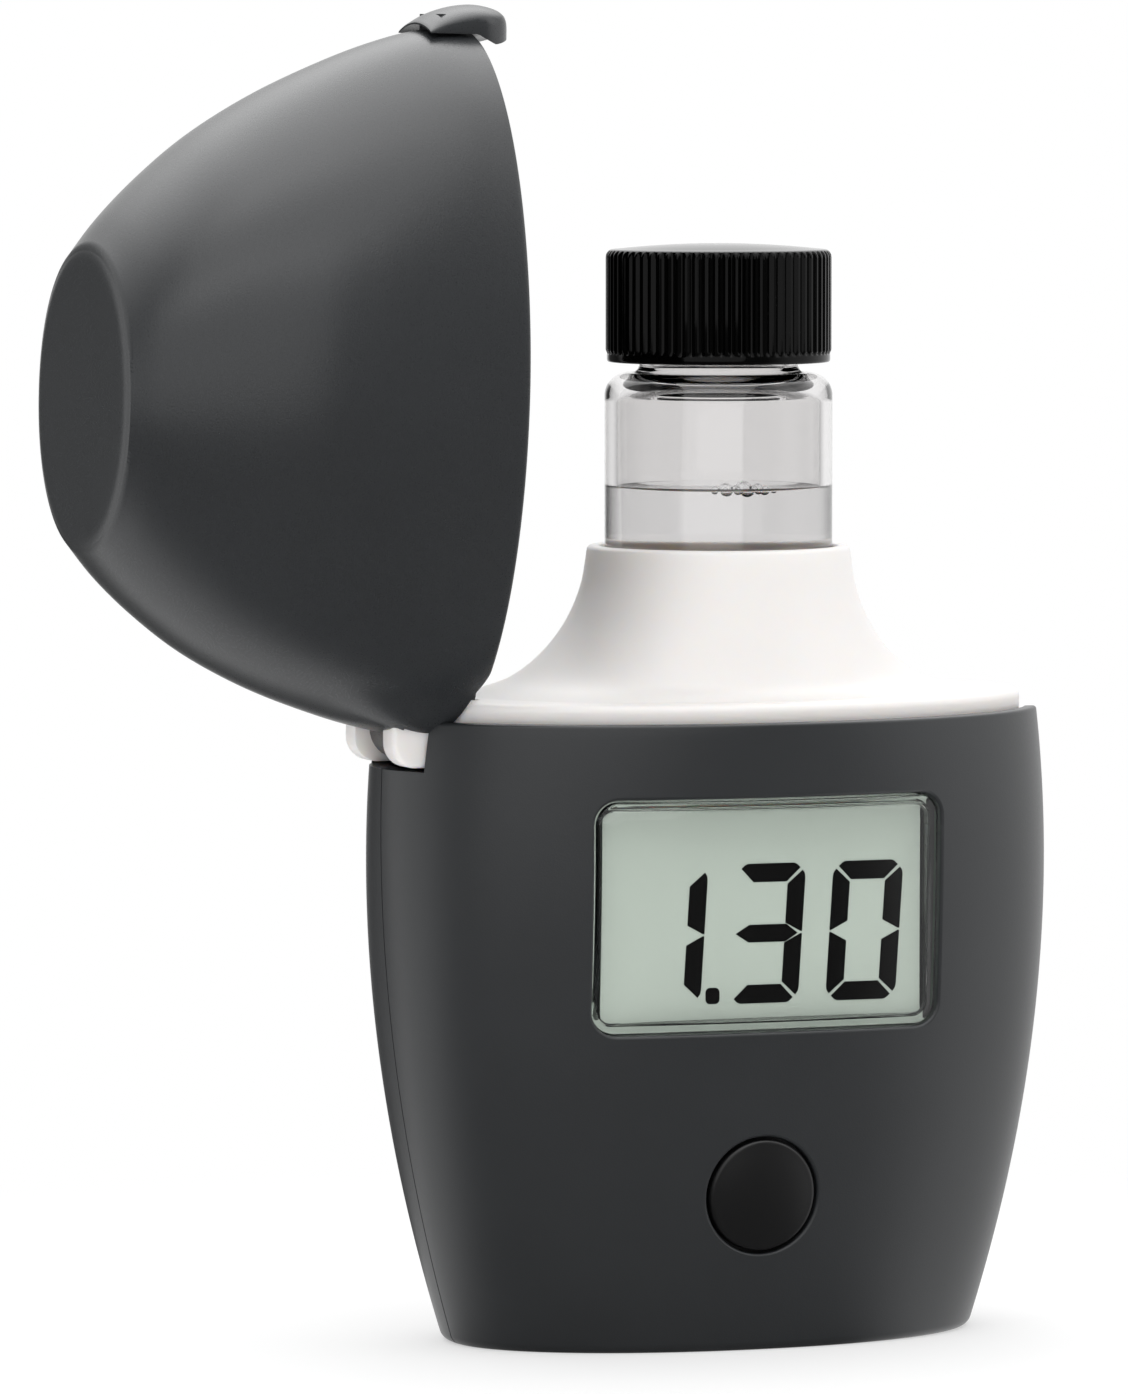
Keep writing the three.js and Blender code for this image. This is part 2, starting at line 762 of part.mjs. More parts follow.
function vialLifter() {
  const lug = vialClearRadius + lugReach;
  const low = lifterTop - lifterThickness;
  const disc = upright(vialClearRadius - slidingGap, low, lifterTop, vialX, vialY, roundSegments);
  const lugs = box(vialX - lug, vialX + lug, vialY - lugWidth / 2, vialY + lugWidth / 2, low, lifterTop);
  const hub = upright(hubRadius, low - hubHeight, low + lifterThickness / 2, vialX, vialY);
  return joined(disc, lugs, hub);
}

function lifterSpring() {
  const low = floorThickness + gap + holderFloor + gap;
  return coil(springRadius, springWire, springTurns, low, lifterTop - lifterThickness - gap, vialX, vialY);
}

// Light emitter, photocell and their link

function lightEmitter() {
  const half = portWidth / 2 - gap;
  const rise = portHeight / 2 - gap;
  return slab(vialX, half, boardBack, boardBack + emitterThickness, beamHeight, rise);
}

function photoDetector() {
  const half = detectorSize / 2;
  const back = holderRear + gap;
  return slab(vialX, half, back - detectorThickness, back, beamHeight, half);
}

function detectorBoard() {
  const low = holderRear + gap;
  return slab(
    vialX, detectorBoardWidth / 2, low, low + boardThickness, beamHeight, detectorBoardHeight / 2,
  );
}

function amplifierChip() {
  const low = holderRear + gap + boardThickness;
  const half = amplifierSize / 2;
  return slab(vialX, half, low, low + amplifierThickness, beamHeight, half);
}

function detectorRibbon() {
  const radius = holderOuter + ribbonStandOff;
  const front = Math.asin((boardBack + gap + ribbonThickness - vialY) / radius);
  const rear = Math.asin((holderRear - ribbonThickness - vialY) / radius);
  const shape = new THREE.Shape();
  shape.absarc(vialX, vialY, radius, front, rear, false);
  shape.absarc(vialX, vialY, radius - ribbonThickness, rear, front, true);
  const geometry = new THREE.ExtrudeGeometry(shape, {
    depth: ribbonWidth, bevelEnabled: false, curveSegments: 14,
  });
  geometry.translate(0, 0, beamHeight - ribbonWidth / 2);
  return toSolid(geometry);
}

// Main board and display

function circuitBoard() {
  const taperLow = boardShoulder - (boardHalfWidth - boardFootHalfWidth);
  const outline = outlineShape([
    [-boardHalfWidth, boardTop], [-boardHalfWidth, boardShoulder], [-boardFootHalfWidth, taperLow],
    [-boardFootHalfWidth, boardBottom], [boardFootHalfWidth, boardBottom],
    [boardFootHalfWidth, taperLow], [boardHalfWidth, boardShoulder], [boardHalfWidth, boardTop],
  ]);
  return sheetAcross(outline, boardFront, boardBack).subtract(boardScrewHole(-1)).subtract(boardScrewHole(1));
}

function lcdPanel() {
  return slab(windowX, panelHalfWidth, panelFront, panelFront + panelThickness, windowHeight, panelHalfHeight);
}

function lcdFrame() {
  const ring = (grow, low, high) => slab(
    windowX, panelHalfWidth + grow, low, high, windowHeight, panelHalfHeight + grow,
  );
  return ring(gap / 2 + frameWall, panelFront, boardFront)
    .subtract(ring(gap / 2, panelFront - overrun, boardFront + overrun))
    .intersect(bodyLoft(0, bodyHeight, shellWall + gap));
}

function zebraConnector() {
  const middle = windowHeight - panelHalfHeight + stripHeight;
  return slab(windowX, stripHalfLength, boardFront - stripThickness, boardFront, middle, stripHeight / 2);
}

function displayWindow() {
  const outer = bodyLoft(baseEdge, bodyHeight, windowRecess);
  const inner = bodyLoft(0, bodyHeight, windowRecess + windowThickness);
  return outer.subtract(inner).intersect(windowPrism(-windowGap));
}

function controlChip() {
  const half = chipSize / 2;
  return slab(chipX, half, boardBack, boardBack + chipThickness, chipHeight, half);
}

// Button and switch

function pushButton() {
  const face = throughFront(buttonRadius, -rimHalfDepth - overrun, buttonBack, buttonX, buttonHeight, 40)
    .intersect(bodyLoft(baseEdge, bodyHeight, -buttonProud));
  const wide = buttonHoleRadius + buttonFlange;
  const flange = throughFront(wide, -rimHalfDepth, buttonBack, buttonX, buttonHeight, 40)
    .intersect(bodyLoft(baseEdge, bodyHeight, buttonLip + gap));
  return face.add(flange);
}

function tactileSwitch() {
  const half = switchSize / 2;
  const front = boardFront - switchThickness;
  const bore = plungerRadius + plungerPlay;
  return slab(buttonX, half, front, boardFront, buttonHeight, half)
    .subtract(throughFront(bore, front - overrun, boardFront - gap / 2, buttonX, buttonHeight, 20));
}

function switchPlunger() {
  const front = buttonBack + plungerGap;
  return throughFront(plungerRadius, front, front + plungerLength, buttonX, buttonHeight, 20);
}

// Battery and its contacts

function battery() {
  const top = batteryBottom + batteryLength;
  return turned([
    [0, batteryBottom], [batteryRadius - batteryEdge, batteryBottom],
    [batteryRadius, batteryBottom + batteryEdge],
    [batteryRadius, top - batteryEdge], [batteryRadius - batteryEdge, top], [nubRadius, top],
    [nubRadius, top + nubHeight], [0, top + nubHeight],
  ], batteryX, 0, 32);
}

function batteryCover() {
  const disc = upright(coverRadius, coverRaise, coverThickness, batteryX, 0, 40);
  return disc.subtract(box(
    batteryX - coinSlotLength / 2, batteryX + coinSlotLength / 2, -coinSlotWidth / 2, coinSlotWidth / 2,
    -overrun, coverRaise + coinSlotDepth,
  ));
}

function batterySpring() {
  return coil(
    cellSpringRadius, cellSpringWire, cellSpringTurns, coverThickness + gap, batteryBottom - gap, batteryX, 0,
  );
}

function batteryContact() {
  const low = contactLow;
  const front = boardBack + gap;
  const high = low + plateThickness;
  const plate = box(batteryX - plateHalfWidth, batteryX + plateHalfWidth, front, plateRear, low, high);
  const tailLeft = -boardHalfWidth - plateHalfWidth;
  const tailRight = -boardHalfWidth + plateHalfWidth;
  const tail = box(tailLeft, tailRight, front, front + plateThickness, low - plateDrop, high);
  return plate.add(tail);
}

// Lid, closed on the body

function lidSections(inset, height) {
  const curve = new THREE.CatmullRomCurve3(lidShares.map((row) => new THREE.Vector3(...row)));
  const sections = [];
  for (let i = 0; i <= lidRings; i += 1) {
    const row = curve.getPoint(i / lidRings);
    sections.push({
      height: mouthHeight + height * row.x,
      halfWidth: lidHalfWidth * row.y - inset,
      halfDepth: lidHalfDepth * row.z - inset,
      roundness: rimRoundness + (lidTopRoundness - rimRoundness) * row.x,
      x: lidLean * row.x,
    });
  }
  return sections;
}

function lidOutside() {
  const sections = lidSections(0, lidHeight);
  const top = sections[lidRings];
  top.height -= lidCrease / 2;
  sections.push(edgeSection(top, mouthHeight + lidHeight, lidCrease * 2));
  return loft(sections);
}

function lidInside() {
  const sections = lidSections(lidWall, lidHeight - lidApexWall);
  const mouth = edgeSection(sections[0], mouthHeight, lidMouthWall - lidWall);
  return loft([edgeSection(mouth, mouthHeight - overrun, 0), mouth, ...sections.slice(1)]);
}

function hingeSlot() {
  const low = mouthHeight - overrun;
  const top = hingeHeight + earRadius + slotTopGap;
  const shoulder = mouthHeight + slotShoulder;
  const outline = new THREE.Shape();
  outline.moveTo(-slotFootHalf, low);
  outline.lineTo(slotFootHalf, low);
  outline.lineTo(slotFootHalf, shoulder);
  outline.lineTo(slotHalf, shoulder + slotTaper);
  outline.lineTo(slotHalf, top);
  outline.lineTo(-slotHalf, top);
  outline.lineTo(-slotHalf, shoulder + slotTaper);
  outline.lineTo(-slotFootHalf, shoulder);
  const depth = rimHalfWidth + overrun + hingeX + earRadius + gap;
  const geometry = new THREE.ExtrudeGeometry(outline, { depth, bevelEnabled: false });
  geometry.rotateX(quarter);
  geometry.rotateZ(quarter);
  geometry.translate(-rimHalfWidth - overrun, 0, 0);
  return toSolid(geometry);
}

function lidShell() {
  const knuckle = throughFront(knuckleRadius, -knuckleHalf, knuckleHalf, hingeX, hingeHeight, 28);
  const webLeft = hingeX - knuckleRadius;
  const webTop = hingeHeight + earRadius + slotTopGap + lidWall;
  const web = box(webLeft, webLeft + lidWall * 2, -knuckleHalf, knuckleHalf, hingeHeight, webTop)
    .intersect(lidOutside().add(knuckle));
  const footSlot = box(
    lidHalfWidth - lidWall * 2, lidHalfWidth + overrun, -lipFootHalfWidth - gap, lipFootHalfWidth + gap,
    mouthHeight + lipTop / 2 - lipFootHeight / 2 - gap, mouthHeight + lipTop / 2 + lipFootHeight / 2 + gap,
  );
  return joined(lidOutside().subtract(lidInside()).subtract(hingeSlot()), knuckle, web)
    .subtract(pinBore(knuckleHalf)).subtract(footSlot);
}

function lipOutline() {
  const high = mouthHeight + lipTop;
  const low = mouthHeight - lipDrop;
  const shape = new THREE.Shape();
  shape.moveTo(lipHalfWidth, high);
  shape.lineTo(-lipHalfWidth, high);
  shape.lineTo(-lipHalfWidth, low + lipCorner);
  shape.absarc(lipCorner - lipHalfWidth, low + lipCorner, lipCorner, Math.PI, Math.PI + quarter);
  shape.absarc(lipHalfWidth - lipCorner, low + lipCorner, lipCorner, -quarter, 0);
  return shape;
}

function lidLatch() {
  const seat = lidHalfWidth + gap;
  const low = mouthHeight - lipDrop;
  const tall = lipTop + lipDrop;
  const section = (height, halfWidth) => ({
    height, halfWidth, halfDepth: lidHalfDepth + halfWidth - lidHalfWidth, roundness: rimRoundness,
  });
  const outer = loft(lipShares.map(([share, out]) => section(low + tall * share, seat + lipBulge * out)));
  const inner = loft([
    section(low - overrun, seat - lipTipIn), section(low, seat - lipTipIn),
    section(low + lipDrop / 2, seat), section(low + tall + overrun, seat),
  ]);
  const geometry = new THREE.ExtrudeGeometry(lipOutline(), {
    depth: lidHalfWidth, bevelEnabled: false, curveSegments: 6,
  });
  geometry.rotateX(quarter);
  geometry.rotateZ(quarter);
  geometry.translate(lipBulge + overrun, 0, 0);
  const middle = mouthHeight + lipTop / 2;
  const foot = box(
    lidHalfWidth - lidWall / 2, seat + lipBulge / 2, -lipFootHalfWidth, lipFootHalfWidth,
    middle - lipFootHeight / 2, middle + lipFootHeight / 2,
  );
  return outer.subtract(inner).intersect(toSolid(geometry)).add(foot);
}

// Materials

const charcoal = material(0x3a3b3c, 0.5);
const satinBlack = material(0x101011, 0.4);
const glossBlack = material(0x0b0b0c, 0.2);
const warmWhite = material(0xece8e4, 0.4);
const clearPlastic = material(0xdde6e0, 0.05, 0, 0.3);
const clearGlass = material(0xe8eeee, 0.03, 0, 0.3);
const water = material(0xf2f6f7, 0.02, 0, 0.3);
const panelGrey = material(0xb8c1b6, 0.4);
const boardGreen = material(0x1f5a38, 0.5);
const chipBlack = material(0x18181a, 0.5);
const steel = material(0xb9bcc0, 0.3, 1);
const jacket = material(0x8c3b2a, 0.35, 0.4);
const elastomer = material(0x9a9aa0, 0.8);
const amber = material(0xe9d9a8, 0.3);

// Assembly

const photometer = new THREE.Group();
photometer.add(makeMesh('front_shell', frontShell(), charcoal));
photometer.add(makeMesh('rear_shell', rearShell(), charcoal));
photometer.add(makeMesh('cuvette_collar', cuvetteCollar(), warmWhite));
photometer.add(makeMesh('display_window', displayWindow(), clearPlastic));
photometer.add(makeMesh('lcd_panel', lcdPanel(), panelGrey));
photometer.add(makeMesh('lcd_frame', lcdFrame(), chipBlack));
photometer.add(makeMesh('zebra_connector', zebraConnector(), elastomer));
photometer.add(makeMesh('circuit_board', circuitBoard(), boardGreen));
photometer.add(makeMesh('control_chip', controlChip(), chipBlack));
photometer.add(makeMesh('push_button', pushButton(), satinBlack));
photometer.add(makeMesh('tactile_switch', tactileSwitch(), chipBlack));
photometer.add(makeMesh('switch_plunger', switchPlunger(), warmWhite));
photometer.add(makeMesh('cuvette_holder', cuvetteHolder(), satinBlack));
photometer.add(makeMesh('vial_lifter', vialLifter(), satinBlack));
photometer.add(makeMesh('lifter_spring', lifterSpring(), steel));
photometer.add(makeMesh('light_emitter', lightEmitter(), amber));
photometer.add(makeMesh('photo_detector', photoDetector(), chipBlack));
photometer.add(makeMesh('detector_board', detectorBoard(), boardGreen));
photometer.add(makeMesh('amplifier_chip', amplifierChip(), chipBlack));
photometer.add(makeMesh('detector_ribbon', detectorRibbon(), amber));
photometer.add(makeMesh('battery', battery(), jacket));
photometer.add(makeMesh('battery_cover', batteryCover(), charcoal));
photometer.add(makeMesh('battery_spring', batterySpring(), steel));
photometer.add(makeMesh('battery_contact', batteryContact(), steel));
for (const [name, place] of Object.entries(shellScrews)) {
  const head = screwSeat(place) + screwHeadHeight;
  photometer.add(makeMesh(`shell_screw_${name}`, screw(
    place[0], place[1], head, -screwReach, screwHeadRadius, screwHeadHeight,
  ), steel));
}
for (const [name, side] of [['left', -1], ['right', 1]]) {
  photometer.add(makeMesh(`board_screw_${name}`, screw(
    side * boardScrewX, boardScrewHeight, boardBack + boardScrewHead, boardFront - boardScrewDepth,
    screwHeadRadius, boardScrewHead,
  ), steel));
}
photometer.add(makeMesh('hinge_pin', hingePin(), steel));

const vial = new THREE.Group();
vial.add(makeMesh('cuvette_glass', cuvetteGlass(), clearGlass));
vial.add(makeMesh('sample_liquid', sampleLiquid(), water));
vial.add(makeMesh('cuvette_cap', cuvetteCap(), glossBlack));
vial.add(makeMesh('cap_liner', capLiner(), warmWhite));
photometer.add(vial);

const lid = new THREE.Group();
lid.position.set(hingeX, 0, hingeHeight);
lid.rotation.y = -THREE.MathUtils.degToRad(openDegrees);
const lidPieces = [makeMesh('lid_shell', lidShell(), charcoal), makeMesh('lid_latch', lidLatch(), charcoal)];
for (const mesh of lidPieces) {
  mesh.position.set(-hingeX, 0, -hingeHeight);
  lid.add(mesh);
}
photometer.add(lid);

export default photometer;
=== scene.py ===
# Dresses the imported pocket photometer: smooth shells, lid, collar, vial, cap, window and button in
# place of the plain solids, procedural materials for everything, a pale floor and soft light.
# Lengths in the form code are millimetres; new_object() turns them into metres.

import math

import bmesh
import bpy
from mathutils import Matrix, Vector
from mathutils.bvhtree import BVHTree
from mathutils.interpolate import poly_3d_calc


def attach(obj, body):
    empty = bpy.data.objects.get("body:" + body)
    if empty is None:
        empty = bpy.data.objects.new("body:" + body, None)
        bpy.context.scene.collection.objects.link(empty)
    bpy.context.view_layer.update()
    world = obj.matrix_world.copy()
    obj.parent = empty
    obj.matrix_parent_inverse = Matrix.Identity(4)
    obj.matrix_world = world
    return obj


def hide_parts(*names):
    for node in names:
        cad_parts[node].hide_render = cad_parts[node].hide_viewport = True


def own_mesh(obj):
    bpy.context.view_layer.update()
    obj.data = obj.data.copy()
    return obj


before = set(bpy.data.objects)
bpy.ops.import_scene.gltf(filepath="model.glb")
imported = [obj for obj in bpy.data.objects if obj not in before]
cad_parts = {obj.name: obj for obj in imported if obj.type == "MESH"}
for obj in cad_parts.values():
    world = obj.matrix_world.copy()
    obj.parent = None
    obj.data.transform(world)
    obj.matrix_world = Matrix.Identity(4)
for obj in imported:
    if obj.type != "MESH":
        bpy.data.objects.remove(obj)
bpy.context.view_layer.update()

MM = 0.001
QUARTER = math.pi / 2
FULL = math.pi * 2
AROUND = 240
ROUND_STEPS = 160
BODY_ROWS = 56
FLARE_ROWS = 44
LID_ROWS = 72
INNER_ROWS = 24
OUTLINE_STEP = 0.8
SHARP_DEGREES = 35
SAME_PLACE = 4e-6
SAME_WAY = 0.94
BEYOND = 50
OVERHEAD = 70

# Body
BODY_HEIGHT = 54.3
BASE_HALF_WIDTH = 23.91
BASE_HALF_DEPTH = 13.81
WIDTH_TAPER = 6.3
DEPTH_TAPER = 4.6
BULGE_WIDTH = 2.44
BULGE_DEPTH = 0.3
BASE_ROUNDNESS = 2.1
RIM_ROUNDNESS = 1.95
MIDDLE_SQUARENESS = 0.45
BASE_EDGE = 0.8
RIM_EDGE = 0.3
SHELL_WALL = 1.8
RIM_WALL = 1.2
FLOOR = 2.0
SEAM = -0.8
SEAM_GAP = 0.15
NOTCH_HALF = 6.5
NOTCH_DEEP = 5.8
NOTCH_LOW = 50.0
CATCH_HALF = 4.5
CATCH_DEEP = 2.8
CATCH_TALL = 4.2
RIM_HALF_WIDTH = BASE_HALF_WIDTH + WIDTH_TAPER
RIM_HALF_DEPTH = BASE_HALF_DEPTH + DEPTH_TAPER
FLANGE_BOTTOM = 52.4
FLANGE_TOP = 55.9

# Window, display and button
WINDOW_X = -0.6
WINDOW_Z = 37.8
WINDOW_HALF_WIDTH = 15.9
WINDOW_HALF_HEIGHT = 10.1
WINDOW_CORNER = 2.1
WINDOW_GAP = 0.15
WINDOW_RECESS = 0.25
WINDOW_THICKNESS = 1.0
SKIRT_WALL = 0.75
PANEL_FRONT = -13.468
BUTTON_X = -0.9
BUTTON_Z = 13.55
BUTTON_HOLE = 5.1
BUTTON_DOME = 0.45
BUTTON_BACK = -12.768
BUTTON_GAP = 0.27
BUTTON_PROUD = 0.1
BUTTON_STEP = 1.2
BUTTON_FLANGE = 0.65

# Screws and battery cover
SHELL_SCREWS = ((-24.6, 31.0), (23.6, 43.0), (19.2, 9.5))
SCREW_SHANK = 1.2
SCREW_HEAD = 2.1
SCREW_BOSS = 2.3
SCREW_DEEP = 1.4
BATTERY_X = -16.11
BATTERY_ROOM = 5.55
COVER_HOLE = 5.8

# Hinge
HINGE_X = -26.31
HINGE_Z = 56.9
EAR_OUTSIDE = 6.1
EAR_INSIDE = 3.45
EAR_RADIUS = 5.0
EAR_CORNER = 2.1
EAR_BOTTOM = 50.35
EAR_TALL = 3.5
EAR_INBOARD = 2.0
HEEL_CORNER = 2.7
HEEL_DEEP = 0.6
HEEL_GAP = 0.25
KNUCKLE_HALF = 3.1
KNUCKLE_RADIUS = 3.8
WEB_DEEP = 2.4
WEB_TOP = 63.5
PIN_BORE = 1.02
PIN_REACH = 20

# Collar
COLLAR_TOP = 68.6
COLLAR_WALL = 1.6
COLLAR_LIP = 0.4
FLANGE_GAP = 0.3
FLANGE_EDGE = 0.75
TUBE_BOTTOM = 50.4
TUBE_TOP = 60.0
BORE = 10.25
BORE_LIP = 0.3
FLARE_BASE = 11.45
VIAL_X = 1.4
VIAL_Y = 0.9
FLARE_SHARES = [
    (0, 0.62), (0.04, 0.545), (0.11, 0.4), (0.26, 0.25), (0.48, 0.12), (0.74, 0.035), (1, 0),
]

# Vial and cap
VIAL_RADIUS = 9.9
GLASS_WALL = 1.1
VIAL_BOTTOM = 31.5
SHOULDER = 81.6
SHOULDER_RADIUS = 2.0
NECK_RADIUS = 6.9
NECK_TOP = 92.2
NECK_FOOT = 87.0
GLASS_FLOOR = 1.5
FLAT = 4
LIQUID_TOP = 73.5
LIQUID_OVERLAP = 0.04
MENISCUS_RISE = 0.32
MENISCUS_WIDTH = 2.6
BUBBLES = (
    (-1.2, -4.6, 0.63), (-0.4, -4.9, 0.45), (0.5, -4.4, 0.75), (1.25, -4.8, 0.42), (1.9, -4.2, 0.54),
    (-2.0, -4.2, 0.36), (2.7, -3.9, 0.33), (0.1, -3.6, 0.39), (-0.9, -3.8, 0.3),
)
CAP_BOTTOM = 84.5
CAP_EDGE = 94.28
CAP_RADIUS = 9.8
CAP_WALL = 1.5
RIBS = 70
RIB_STEPS = 8
RIB_DEPTH = 0.28
DOME = 0.5

# Spring under the vial's rest
SPRING_RADIUS = 6.2
WIRE_RADIUS = 0.35
SPRING_LOW = 4.2
SPRING_TOP = 28.7
SPRING_TURNS = 6

# Lid, measured closed
MOUTH = 54.6
LID_HEIGHT = 33.8
LID_HALF_WIDTH = RIM_HALF_WIDTH
LID_HALF_DEPTH = RIM_HALF_DEPTH + 0.34
LID_WALL = 1.2
LID_LEAN = -1.9
LID_TOP_ROUNDNESS = 2.1
LID_SHARES = [
    (0, 1, 0.981), (0.12, 1, 0.992), (0.25, 0.968, 1), (0.4, 0.91, 1), (0.55, 0.837, 0.985),
    (0.7, 0.741, 0.93), (0.82, 0.637, 0.845), (0.92, 0.53, 0.745), (1, 0.42, 0.64),
]
SLOT_GAP = 0.25
SLOT_FOOT = 10.6
SLOT_FOOT_TALL = 4.6
SLOT_FOOT_START = math.radians(35)
PAD_HALF = 5.2
PAD_END = 9.2
PAD_TOP = 68.0
PAD_FADE = 9.0
PAD_BOW = 0.004
OPEN_ANGLE = math.radians(88.7)
LIP_HALF_WIDTH = 4.0
LIP_BULGE = 1.79
LIP_TOP = 4.3
LIP_DROP = 3.5
LIP_CORNER = 3.0
LIP_SEAT = 0.3
LIP_FOOT_HALF = 2.5
LIP_FOOT_TALL = 0.8
LIP_FOOT_GAP = 0.3
LIP_SHARES = [(0, 0.45), (0.15, 0.85), (0.35, 1), (0.55, 0.92), (0.8, 0.6), (1, 0.12)]


# Curves

def curve_point(rows, share):
    """A smooth curve through rows, at a share of its length, spaced by the root of its steps."""
    place = share * (len(rows) - 1)
    index = min(int(place), len(rows) - 2)
    weight = place - index
    p1, p2 = Vector(rows[index]), Vector(rows[index + 1])
    p0 = Vector(rows[index - 1]) if index else p1 * 2 - p2
    p3 = Vector(rows[index + 2]) if index + 2 < len(rows) else p2 * 2 - p1
    d1 = max((p2 - p1).length ** 0.5, 1e-6)
    d0 = (p1 - p0).length ** 0.5 or d1
    d2 = (p3 - p2).length ** 0.5 or d1
    t1 = ((p1 - p0) / d0 - (p2 - p0) / (d0 + d1) + (p2 - p1) / d1) * d1
    t2 = ((p2 - p1) / d1 - (p3 - p1) / (d1 + d2) + (p3 - p2) / d2) * d1
    a = 2 * p1 - 2 * p2 + t1 + t2
    b = -3 * p1 + 3 * p2 - 2 * t1 - t2
    return ((a * weight + b) * weight + t1) * weight + p1


def curve_height(rows, share):
    """The second value of a curve through (share, value) rows, where the first is share."""
    low, high = 0.0, 1.0
    for _ in range(24):
        middle = (low + high) / 2
        if curve_point(rows, middle).x < share:
            low = middle
        else:
            high = middle
    return curve_point(rows, high).y


def arc(cx, cz, radius, start, end, steps):
    """Points of an arc from one angle to another, both ends among them."""
    angles = [start + (end - start) * k / steps for k in range(steps + 1)]
    return [(cx + radius * math.cos(angle), cz + radius * math.sin(angle)) for angle in angles]


# Meshes

def new_object(name, points, faces):
    mesh = bpy.data.meshes.new(name)
    mesh.from_pydata([Vector(p) * MM for p in points], [], faces)
    shape = bmesh.new()
    shape.from_mesh(mesh)
    bmesh.ops.recalc_face_normals(shape, faces=shape.faces)
    shape.to_mesh(mesh)
    shape.free()
    mesh.update()
    obj = bpy.data.objects.new(name, mesh)
    bpy.context.scene.collection.objects.link(obj)
    return obj


def ring_faces(first, second, count):
    sides = [(i, (i + 1) % count) for i in range(count)]
    return [(first + i, first + j, second + j, second + i) for i, j in sides]


def ring_mesh(name, rings, closed=False):
    """A closed form through rings of equal count; closed joins the last ring to the first."""
    count = len(rings[0])
    points = [p for ring in rings for p in ring]
    faces = []
    for k in range(len(rings) - 1):
        faces += ring_faces(k * count, (k + 1) * count, count)
    last = (len(rings) - 1) * count
    if closed:
        faces += ring_faces(last, 0, count)
    else:
        faces.append(list(range(count)))
        faces.append(list(range(last, last + count)))
    return new_object(name, points, faces)


def oval(z, half_width, half_depth, roundness, cx=0.0, cy=0.0):
    power = 2 / roundness
    ring = []
    for c, s in circle(0, 0, 1, AROUND):
        x = cx + half_width * math.copysign(abs(c) ** power, c)
        y = cy + half_depth * math.copysign(abs(s) ** power, s)
        ring.append((x, y, z))
    return ring


def turned_rings(profile, cx, cy, count=ROUND_STEPS):
    return [[(x, y, z) for x, y in circle(cx, cy, r, count)] for r, z in profile]


def box_mesh(name, low, high):
    points = [(x, y, z) for x in (low[0], high[0]) for y in (low[1], high[1]) for z in (low[2], high[2])]
    faces = [(0, 1, 3, 2), (4, 6, 7, 5), (0, 4, 5, 1), (2, 3, 7, 6), (0, 2, 6, 4), (1, 5, 7, 3)]
    return new_object(name, points, faces)


def prism_y(name, outline, low, high):
    """An outline of (x, z) points, anticlockwise seen from -Y, carried from y=low to y=high."""
    rings = [[(x, y, z) for x, z in outline] for y in (low, high)]
    return ring_mesh(name, rings)


def circle(cx, cz, radius, count=48):
    return arc(cx, cz, radius, 0, FULL, count)[:-1]


def rounded(cx, cz, half_width, half_height, corner, steps=10):
    points = []
    for sx, sz, start in ((1, -1, -QUARTER), (1, 1, 0), (-1, 1, QUARTER), (-1, -1, math.pi)):
        x, z = cx + sx * (half_width - corner), cz + sz * (half_height - corner)
        points += arc(x, z, corner, start, start + QUARTER, steps)
    return spread(points)


def spread(points):
    """The same outline with its long straights divided."""
    result = []
    for i, (x0, z0) in enumerate(points):
        x1, z1 = points[(i + 1) % len(points)]
        parts = max(1, int(math.hypot(x1 - x0, z1 - z0) / OUTLINE_STEP))
        for k in range(parts):
            result.append((x0 + (x1 - x0) * k / parts, z0 + (z1 - z0) * k / parts))
    return result


def combine(obj, tool, operation):
    """Joins, cuts or trims obj with tool, which is then removed."""
    modifier = obj.modifiers.new("shape", "BOOLEAN")
    modifier.operation = operation
    modifier.solver = "EXACT"
    modifier.object = tool
    graph = bpy.context.evaluated_depsgraph_get()
    made = bpy.data.meshes.new_from_object(obj.evaluated_get(graph))
    obj.modifiers.remove(modifier)
    spent = obj.data, tool.data
    obj.data = made
    bpy.data.objects.remove(tool)
    for mesh in spent:
        bpy.data.meshes.remove(mesh)


def cut(obj, *tools):
    for tool in tools:
        combine(obj, tool, "DIFFERENCE")


def add(obj, *tools):
    for tool in tools:
        combine(obj, tool, "UNION")


def smooth(obj, degrees, like=None):
    """Smooth shading with sharp edges kept, for obj, which it gives back. like is an uncut mesh whose
    normals the cut one takes."""
    mesh = obj.data
    mesh.shade_smooth()
    mesh.set_sharp_from_angle(angle=math.radians(degrees))
    if like is None:
        return obj
    coords = [v.co.copy() for v in like.vertices]
    normals = [v.normal.copy() for v in like.vertices]
    polygons = [tuple(p.vertices) for p in like.polygons]
    tree = BVHTree.FromPolygons(coords, polygons)
    found = {}
    for v in mesh.vertices:
        place, _, index, distance = tree.find_nearest(v.co)
        if distance is not None and distance < SAME_PLACE:
            corners = polygons[index]
            weights = poly_3d_calc([coords[c] for c in corners], place)
            normal = Vector((0, 0, 0))
            for corner, weight in zip(corners, weights):
                normal += normals[corner] * weight
            found[v.index] = normal.normalized()
    custom = [Vector((0, 0, 0))] * len(mesh.loops)
    for polygon in mesh.polygons:
        for loop in polygon.loop_indices:
            normal = found.get(mesh.loops[loop].vertex_index)
            if normal is not None and normal.dot(polygon.normal) > SAME_WAY:
                custom[loop] = normal
    mesh.normals_split_custom_set(custom)
    return obj


def finish_piece(obj, body, look, *nodes):
    """Gives a piece its look and its body, and hides the CAD nodes that it takes the place of."""
    obj.data.materials.clear()
    obj.data.materials.append(look)
    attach(obj, body)
    if nodes:
        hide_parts(*nodes)


# Body shells

